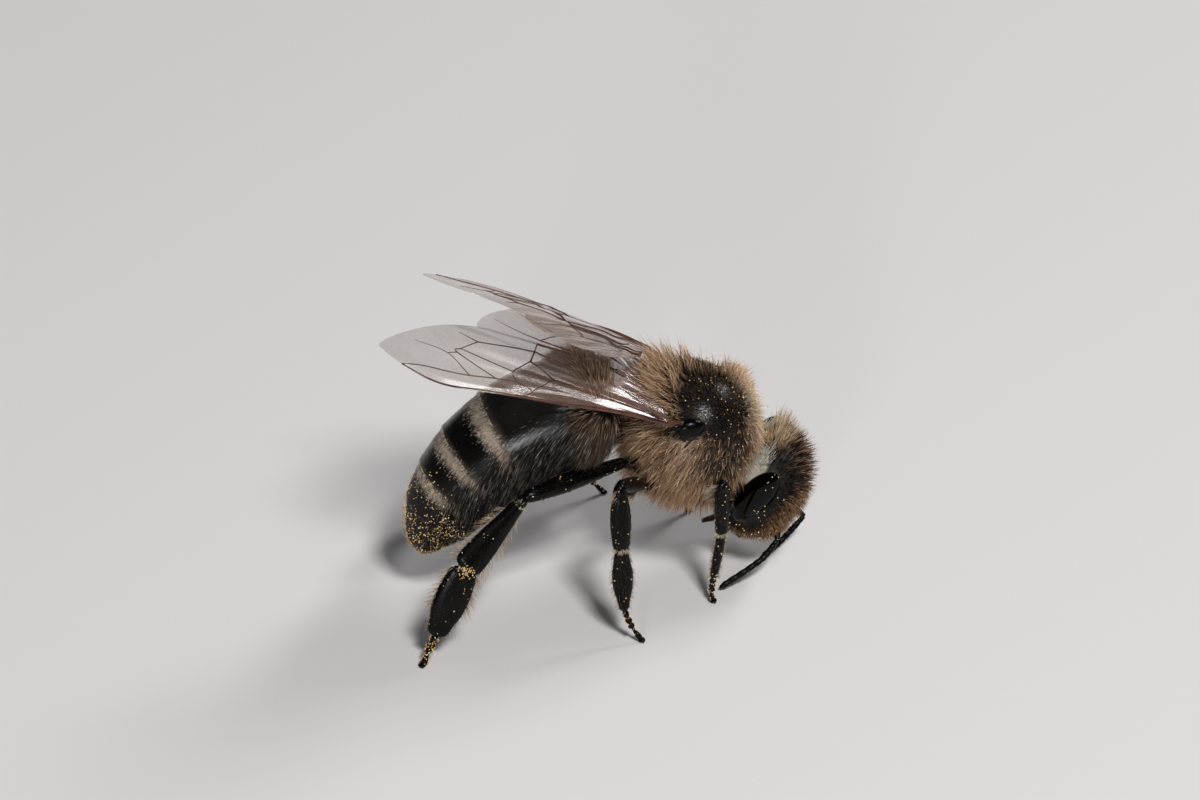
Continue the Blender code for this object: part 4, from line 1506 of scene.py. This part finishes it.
# %% [markdown]
# ### Hair of the head
# Long dark hairs stand on the crown, whitish ones lie behind the eyes and round the neck, and
# short tan ones stand out from the face. Round the eyes the shell is black and almost bare.

# %% Style of the head hair
RUFFLED_WAY = (-0.68, -0.50, 0.54)  # where the hair stands up behind one eye
FRINGE_WAY = (-0.12, -0.42, 0.88)


def eye_gap(points):
    """Distance from the nearer eye in half eye sizes: 1 is its edge."""
    gap = np.full(len(points), 9.0)
    for side in SIDES.values():
        local = (points - np.array(head_point(EYE_PLACE, side))) @ HEAD_AXES.T
        gap = np.minimum(gap, np.linalg.norm(local / np.array(EYE_HALF), axis=1))
    return gap


def head_style(ways, gap, rng, under):
    """Length, flow, lift, colours and share kept of the hair for directions from the head's middle."""
    across, ahead, above = ways.T
    right, front, up = HEAD_AXES
    crown = smooth(above, 0.30, 0.75) * smooth(ahead, -0.75, -0.45)
    nape = nape_amount(ways)
    fringe = smooth(hump(ways, FRINGE_WAY, 0.52), 0.30, 0.70) * (1 - nape)
    face = smooth(ahead, 0.15, 0.6) * (1 - crown)
    mouth = smooth(-above, 0.45, 0.9)
    ruffled = hump(ways, RUFFLED_WAY, 0.40)
    length = 0.20 + 0.26 * crown + 0.10 * nape + 0.22 * fringe
    length = length + 0.18 * face * smooth(ahead, 0.3, 0.9) + 0.06 * mouth
    near_eye = (1 - smooth(gap, 1.0, 1.7)) * (1 - smooth(above, 0.45, 0.70)) * (1 - ruffled)
    length = (length + 0.42 * ruffled) * rng.uniform(0.65, 1.2, len(ways)) * (1 - 0.55 * near_eye)
    flow = up[None] * (1.0 * crown + 1.2 * nape)[:, None] - up[None] * (0.5 * face + 0.9 * mouth)[:, None]
    flow = flow + front[None] * (0.5 * crown)[:, None] + right[None] * (0.4 * np.sign(across) * face)[:, None]
    lift = np.clip(0.55 + 0.30 * crown - 0.20 * nape + 0.15 * face, 0.3, 0.9)
    tone = rng.random(len(ways))
    high = mixed(tone**1.5, "#6c4a33", "#deb284")
    dark_crown = crown * (rng.random(len(ways)) < (0.95 if under else 0.45))
    black = np.clip(dark_crown + (1 - smooth(gap, 1.1, 1.9)) * (1 - nape), 0, 1) * (1 - fringe)
    high = tinted(high, black, "#2c211a")
    high = tinted(high, fringe, mixed(tone, "#a58563", "#efd4ae"))
    high = tinted(high, nape, mixed(tone, "#b5aea3", "#ebe6dc"))
    low = mixed(np.maximum(nape, 0.12 * fringe), "#120d0a", "#8d867c")
    sparse = 0.60 + 0.40 * np.maximum(smooth(gap, 1.1, 1.8), ruffled)
    return length, flow, lift, low, high, sparse * (1 - 0.72 * crown * (1 - fringe))


print("eye, mm:", [round(2 * half, 2) for half in EYE_HALF])

# %% [markdown]
# The head's hair is planted like the thorax's, and left out over the eyes and where the back of
# the head lies in the thorax's fur.

# %% Plant the head hair
def head_hair(seed, tufts, hairs, under):
    rng = np.random.default_rng(seed)
    centres = unit(rng.normal(size=(tufts, 3)))
    number, offset = tufted(rng, tufts, hairs, 0.04 if under else 0.07)
    ways = unit(centres[number] + offset)
    middle, _ = head_skin(centres)
    points, normals = head_skin(ways)
    gap = eye_gap(points)
    length, flow, lift, low, high, share_kept = head_style(ways, gap, rng, under)
    way = comb(normals, flow, lift)
    coat = {
        "root": points - normals * SUNK,
        "way": way,
        "tip_way": way + 0.35 * flow,
        "length": (length * 0.6 if under else length) + SUNK,
        "thick": rng.uniform(0.014, 0.024, len(number)),
        "low": low,
        "high": high * (0.6 if under else 1.0),
        "chart": round_chart(ways[:, [1, 0, 2]]),
    }
    coat = lean(coat, rng, middle[number], 1.8, 0.16)
    from_thorax = np.linalg.norm((points - np.array(THORAX_CENTRE)) / np.array(THORAX_HALF), axis=1)
    kept = (gap > 1.05) & (from_thorax >= 1.02) & (rng.random(len(number)) < share_kept)
    return keep_only(coat, kept)


strands("hair_head_wisps", head_hair(13, 1700, 7, False), hair, bends=2)
strands("hair_head_underfur", head_hair(14, 1800, 6, True), hair, bends=2)

# %% [markdown]
# ### Hair of the abdomen
# The first ring has long tan hair in front. Rings three, four and five start with a band of pale
# felt, brightest on the back. The sides carry fine grey-brown hair combed down and back, with a few
# strands painted near white as glints of light, and the back of ring two is polished and almost
# bare.

# %% Abdomen hair
def side_amount(turn):
    """0 along the back, 1 on the sides and belly."""
    return smooth(np.abs((turn + math.pi) % (2 * math.pi) - math.pi), 0.75, 1.45)


def abdomen_hair(seed, tufts, hairs, region, spread_t=0.012, spread_angle=0.07, gather=0.5):
    """Region gives, for places and angles, a dict of keep, length, lift, low, high and thick."""
    rng = np.random.default_rng(seed)
    t0 = rng.random(tufts) ** 0.9 * 0.985
    turn0 = rng.uniform(-math.pi, math.pi, tufts)
    number, offset = tufted(rng, tufts, hairs, 1.0)
    t = np.clip(t0[number] + offset[:, 0] * spread_t, 0.001, 0.993)
    turn = turn0[number] + offset[:, 1] * spread_angle
    style = region(t, turn, rng)
    points, normals = abdomen_skin(t, turn)
    heading = axis_heading(t)
    rise = (1 - smooth(t, 0.06, 0.20)) * (1 - side_amount(turn))
    upward = (0.9 * rise - style["droop"])[:, None] * np.array([0, 0, 1.0])
    flow = heading * (1 - 0.7 * rise)[:, None] + upward
    way = comb(normals, unit(flow), style["lift"])
    coat = {
        "root": points - normals * SUNK * 0.6,
        "way": way,
        "tip_way": way + flow * 0.55,
        "length": style["length"] * rng.uniform(0.75, 1.2, len(number)) + SUNK * 0.6,
        "thick": style["thick"],
        "low": style["low"],
        "high": style["high"],
        "chart": np.stack([(turn / (2 * math.pi)) % 1.0, t], axis=1),
    }
    middle, _ = abdomen_skin(t0, turn0)
    coat = lean(coat, rng, middle[number], gather, 0.10)
    return keep_only(coat, rng.random(len(number)) < style["keep"])


print("side share at the back, the flank and the belly:", side_amount(np.array([0.0, 1.1, math.pi])).round(2))

# %% [markdown]
# Each of the three coats is a function of the place and the angle. It gives how many strands are
# kept, how long they are, how they lie and their colours.

# %% Three coats of the abdomen
def long_coat(t, turn, rng):
    front = 1 - smooth(t, 0.08, 0.24)
    side = side_amount(turn)
    # A very few strands get a near-white tip: painted glints of light on the dark side hair.
    tone = rng.random(len(t)) ** 8.5
    high = mixed(tone, "#1c1613", "#f0e5d8")
    high = tinted(high, front * (1 - 0.75 * side), mixed(tone**0.30, "#8d6d51", "#ecd0b2"))
    rear = smooth(t, 0.80, 0.95)
    return {
        "keep": np.clip(front + side * (1 - 0.35 * rear), 0.0, 1.0) * (t > 0.015),
        "length": 0.26 + 0.30 * front + 0.14 * side * (1 - rear),
        "lift": 0.20 + 0.36 * front * (1 - side) + 0.10 * front * side,
        "droop": 1.20 * side,
        "low": mixed(front * (1 - side), "#070504", "#5e4a3b"),
        "high": high,
        "thick": rng.uniform(0.012, 0.020, len(t)),
    }


def felt_coat(t, turn, rng):
    tone = rng.random(len(t))
    dim = 0.55 * side_amount(turn)[:, None]
    return {
        "keep": band_amount(t) * (1 - 0.65 * side_amount(turn)),
        "length": np.full(len(t), 0.12),
        "lift": np.full(len(t), 0.22),
        "droop": 0.15 * side_amount(turn),
        "low": mixed(tone, "#a59685", "#c7b9a6") * (1 - dim),
        "high": mixed(tone, "#d9ccba", "#fbf2e4") * (1 - dim),
        "thick": rng.uniform(0.016, 0.024, len(t)),
    }


def short_coat(t, turn, rng):
    tone = rng.random(len(t)) ** 2.4
    on_second = (t > RING_ENDS[1]) & (t < RING_ENDS[2])
    return {
        "keep": np.where(on_second, 0.30, 0.80) * (1 - band_amount(t)) * (t > 0.20),
        "length": np.where(t > 0.88, 0.17, 0.11),
        "lift": np.full(len(t), 0.18),
        "droop": 0.2 * side_amount(turn),
        "low": mixed(tone, "#080606", "#120e0b"),
        "high": mixed(tone, "#17120f", "#a4917f"),
        "thick": rng.uniform(0.011, 0.017, len(t)),
    }


long_hairs = abdomen_hair(21, 10000, 4, long_coat)
behind = long_hairs["root"][:, 0] < -4.6
for name, coat, finish in (
    ("long_front", keep_only(long_hairs, ~behind), fine_hair),
    ("long_rear", keep_only(long_hairs, behind), fine_hair),
    ("felt", abdomen_hair(22, 19000, 6, felt_coat, 0.004, 0.02, 1.2), hair),
    ("short", abdomen_hair(23, 8200, 3, short_coat, 0.010, 0.05), fine_hair),
):
    strands(f"hair_abdomen_{name}", coat, finish, bends=2)

# %% [markdown]
# ### Hair of the legs
# Short hair lies towards the foot everywhere. The hind tibia carries the fringe of long curved
# hairs that holds a load of pollen, and the long foot joints have combs on their edges.

# %% Leg hair
LEG_HAIR_SUNK = 0.02


def leg_hair(
    parts, rng, part, count, length, low, high, lift, angle=None, along=(0.05, 0.95), wild=0.10, curve=0.25
):
    """Hairs on one leg joint; angle picks a line along it: 0 is one edge and pi the other."""
    surface = parts[part]["surface"]
    places = rng.uniform(*along, count)
    turns = rng.uniform(-math.pi, math.pi, count) if angle is None else rng.normal(angle, 0.16, count)
    points, normals = surface(places, turns)
    flow = np.tile(parts[part]["ahead"], (count, 1))
    way = comb(normals, flow, np.full(count, lift))
    scale = rng.uniform(0.65, 1.15, count)
    share = rng.random(count) ** 1.5
    return {
        "root": points - normals * LEG_HAIR_SUNK,
        "way": unit(way + rng.normal(size=way.shape) * wild),
        "tip_way": unit(way + flow * curve * 2 + rng.normal(size=way.shape) * wild),
        "length": length * scale + LEG_HAIR_SUNK,
        "thick": rng.uniform(0.011, 0.018, count),
        "low": mixed(share, low, high) * 0.7,
        "high": mixed(share, low, high),
        "chart": np.stack([(turns / (2 * math.pi)) % 1.0, places], axis=1),
    }


def coats_of_leg(leg, parts, rng, rear):
    coats = []
    for part, count, length in (("femur", 300, 0.12), ("tibia", 260, 0.10), ("basitarsus", 340, 0.09)):
        coats.append(leg_hair(parts, rng, part, count, length, "#15100d", "#5f4f40", 0.35))
    coats.append(leg_hair(parts, rng, "coxa", 300, 0.30, "#5d4738", "#c4aa90", 0.5))
    for edge in (0.0, math.pi):
        coats.append(leg_hair(parts, rng, "basitarsus", 60, 0.17, "#8a6f58", "#e0cbb0", 0.55, edge))
    if leg == "hind":
        knee = ("#d8c8a8", "#fbf2dc", 0.25, None, (0.01, 0.12))
        coats.append(leg_hair(parts, rng, "tibia", 280, 0.11, *knee))
        for edge in (0.0, math.pi):
            fringe = ("#b08a6c", "#f3dfc4", 0.66, edge)
            coats.append(leg_hair(parts, rng, "tibia", 70, 0.50, *fringe, (0.22, 0.97), 0.10, 0.4))
            coats.append(leg_hair(parts, rng, "basitarsus", 45, 0.40, *fringe, (0.02, 0.6)))
    else:
        brush = ("#a08a72", "#eadcc4", 0.6, rear, (0.25, 1.0))
        coats.append(leg_hair(parts, rng, "femur", 190, 0.60, *brush))
        ankle = ("#c8b694", "#f6ecd4", 0.5, None, (0.93, 0.99), 0.3)
        coats.append(leg_hair(parts, rng, "tibia", 170, 0.13, *ankle))
    return coats


for side_name, side in SIDES.items():
    rng = np.random.default_rng(31 if side > 0 else 32)
    rear = math.pi if side > 0 else 0.0
    coats = []
    for (leg, name), parts in leg_surfaces.items():
        if name == side_name:
            coats += coats_of_leg(leg, parts, rng, rear)
    strands(f"hair_legs_{side_name}", joined_coats(coats), hair, bends=2)

# %% [markdown]
# ## Pollen
# The bee is dusted with golden grains about 0.04 mm across, in the hair of the tip of the abdomen,
# on the face and along the legs, with a lump at the joint that presses it into the load. One ball
# of twenty faces is repeated from arrays.

# %% Grains
GRAIN_RADII = (0.011, 0.024)


def pollen_material():
    material, tree, shader = start_material("pollen_grain_oily", Roughness=0.55, IOR=1.45)
    tint = add_node(tree, "ShaderNodeAttribute", attribute_name="tint").outputs["Color"]
    tree.links.new(tint, shader.inputs["Base Color"])
    return material


def grains(name, places, rng):
    template = bmesh.new()
    bmesh.ops.create_icosphere(template, subdivisions=1, radius=1.0)
    ball_points = np.array([vert.co for vert in template.verts])
    ball_faces = np.array([[vert.index for vert in face.verts] for face in template.faces])
    template.free()
    count, corners = len(places), len(ball_points)
    radii = rng.uniform(*GRAIN_RADII, (count, 1, 1))
    points = (places[:, None] + ball_points[None] * radii).reshape(-1, 3) * MM + np.array(BEE_ZERO)
    numbers = ball_faces[None] + np.arange(count)[:, None, None] * corners
    mesh = bpy.data.meshes.new(name)
    mesh.from_pydata(points, [], numbers.reshape(-1, 3))
    tone = rng.random(count) ** 1.5
    colours = np.ones((count, corners, 4))
    colours[:, :, :3] = mixed(tone, "#dca643", "#f7edcb")[:, None]
    write_point_values(mesh, "tint", "FLOAT_COLOR", colours)
    print(f"{name}: {count} grains")
    return dress_piece(name, mesh, [pollen_material()])


def dust(points, normals, rng, low, high):
    """Places a little above a surface, where the hair holds the grains."""
    return points + normals * rng.uniform(low, high, (len(points), 1))


print("grains, mm across:", [round(2 * radius, 3) for radius in GRAIN_RADII])

# %% [markdown]
# Pollen clings in clumps at the tip of the abdomen, evenly on the face and the back, and thickest
# on the toes and at the joint of the hind foot.

# %% Dust the bee
TIP_GRAINS = 1800
TIP_CLUMPS = 170
FACE_GRAINS = 520
BACK_GRAINS = 700
EYE_GRAINS = 16
JOINT_GRAINS = 420


def dust_of_body(rng):
    clump = rng.integers(0, TIP_CLUMPS, TIP_GRAINS)
    turns = rng.uniform(-math.pi, math.pi, TIP_CLUMPS)[clump] + rng.normal(size=TIP_GRAINS) * 0.16
    along = 1.0 - np.abs(rng.normal(0.06, 0.10, TIP_CLUMPS))[clump] + rng.normal(size=TIP_GRAINS) * 0.022
    tip = dust(*abdomen_skin(np.clip(along, 0.55, 0.99), turns), rng, 0.00, 0.12)
    ways = unit(rng.normal(size=(1500, 3)) + np.array((0.0, 0.9, -0.7)))
    ways = ways[(ways[:, 1] > -0.2) & (ways[:, 2] < 0.75)]
    face = dust(*head_skin(ways), rng, 0.02, 0.30)
    ways = unit(rng.normal(size=(BACK_GRAINS, 3)))
    back = dust(*thorax_skin(ways), rng, 0.03, 0.50)
    eyes = []
    for side in SIDES.values():
        eye_ways = unit(rng.normal(size=(EYE_GRAINS, 3)) * 0.8 + np.array((0.8 * side, 0.9, -0.3)))
        eyes.append(eye_place(side)(eye_ways))
    return [tip, face[:FACE_GRAINS], back, *eyes]


def dust_of_joint(joint, rng, count, span, above):
    """Grains all round a leg joint, over a span of its length."""
    places = rng.uniform(*span, count)
    turns = rng.uniform(-math.pi, math.pi, count)
    return dust(*joint["surface"](places, turns), rng, 0.0, above)


def dust_of_legs(rng):
    places = []
    for (leg, side_name), parts in leg_surfaces.items():
        for part, count in (("femur", 22), ("tibia", 18), ("basitarsus", 26 if leg == "hind" else 14)):
            places.append(dust_of_joint(parts[part], rng, count, (0.05, 0.97), 0.05))
        for toe in parts["toes"]:
            places.append(dust_of_joint(toe, rng, 34 if leg == "hind" else 12, (0, 1), 0.04))
        if leg == "hind":
            joint = np.array(leg_joints(leg, SIDES[side_name])[3])
            places.append(joint + rng.normal(size=(JOINT_GRAINS, 3)) * (0.13, 0.13, 0.10))
    return places


rng = np.random.default_rng(41)
grains("pollen", np.concatenate(dust_of_body(rng) + dust_of_legs(rng)), rng)

# %% [markdown]
# ## Stage
# A plain pale board, one soft light high on the bee's right, a small low one beside the camera
# that glints in the eye, and one behind that shines off the wings. The camera looks down on the
# bee's right side from a little behind.

# %% Aim at the bee
AZIMUTH = math.radians(-12)
ELEVATION = math.radians(33)
CAMERA_DISTANCE = 0.182
LIGHT_DISTANCE = 0.30
LOOKS_AT = BEE_ZERO + Vector((-2.42, 0.0, 6.22)) * MM


def view_way(azimuth, elevation):
    flat = math.cos(elevation)
    return Vector((math.sin(azimuth) * flat, -math.cos(azimuth) * flat, math.sin(elevation)))


def aim(thing, place, target, along=Vector((0.0, 0.0, 1.0))):
    """Face a target, with the upright of the thing turned towards a direction."""
    back = (place - target).normalized()
    across = along.cross(back).normalized()
    thing.location = place
    thing.rotation_euler = Matrix((across, back.cross(across), back)).transposed().to_euler()
    bpy.context.scene.collection.objects.link(thing)


def soft_light(name, azimuth, elevation, size, power, colour, along=Vector((0.0, 0.0, 1.0))):
    """A lit rectangle; size is its width and height in metres."""
    lamp = bpy.data.lights.new(name, "AREA")
    lamp.shape = "RECTANGLE"
    lamp.size, lamp.size_y = size
    lamp.energy = power
    lamp.color = colour
    way = view_way(math.radians(azimuth), math.radians(elevation))
    aim(bpy.data.objects.new(name, lamp), LOOKS_AT + way * LIGHT_DISTANCE, LOOKS_AT, along)


print("looks at, mm:", [round(value / MM, 2) for value in LOOKS_AT])

# %% [markdown]
# The board is matt, so it shows soft shadows and no mirror image. The light behind is a long
# rectangle that lies along the arc in which the folds of the wing mirror it.

# %% Floor and lights
FLOOR_HALF = 1.5
ROOM_LIGHT = 0.07

floor_bm = bmesh.new()
bmesh.ops.create_grid(floor_bm, x_segments=2, y_segments=2, size=FLOOR_HALF)
floor_mesh = bpy.data.meshes.new("floor")
floor_bm.to_mesh(floor_mesh)
floor_bm.free()
floor = bpy.data.objects.new("floor", floor_mesh)
bpy.context.scene.collection.objects.link(floor)
board, _, board_shader = start_material("matt_grey_board", Roughness=0.9)
board_shader.inputs["Base Color"].default_value = srgb("#dcdbdd")
floor_mesh.materials.append(board)

soft_light("key", 12, 54, (0.055, 0.055), 0.70, (1.0, 0.975, 0.94))
soft_light("side", -23, 13, (0.042, 0.042), 0.17, (0.97, 0.98, 1.0))
fold_arc = view_way(math.radians(109), math.radians(44)) - view_way(math.radians(130), math.radians(31))
soft_light("back", 119, 38, (0.060, 0.130), 0.36, (1.0, 0.98, 0.96), fold_arc)

world = bpy.data.worlds.new("pale_room")
bpy.context.scene.world = world
world.use_nodes = True
room = world.node_tree.nodes["Background"]
room.inputs["Color"].default_value = srgb("#e4e6ea")
room.inputs["Strength"].default_value = ROOM_LIGHT
print("lights:", [lamp.name for lamp in bpy.data.lights])

# %% [markdown]
# A long lens from 18 cm keeps the bee's parts in their true proportions. Everything here is tiny,
# so the camera's near limit is set to a millimetre.

# %% Camera
LENS = 180.0

camera = bpy.data.cameras.new("camera")
camera.lens = LENS
camera.clip_start = 0.001
camera.clip_end = 10.0
camera_stand = bpy.data.objects.new("camera", camera)
aim(camera_stand, LOOKS_AT + view_way(AZIMUTH, ELEVATION) * CAMERA_DISTANCE, LOOKS_AT)
bpy.context.scene.camera = camera_stand
bpy.context.scene.view_settings.view_transform = "Standard"
print("camera, mm:", [round(value / MM, 1) for value in camera_stand.location])
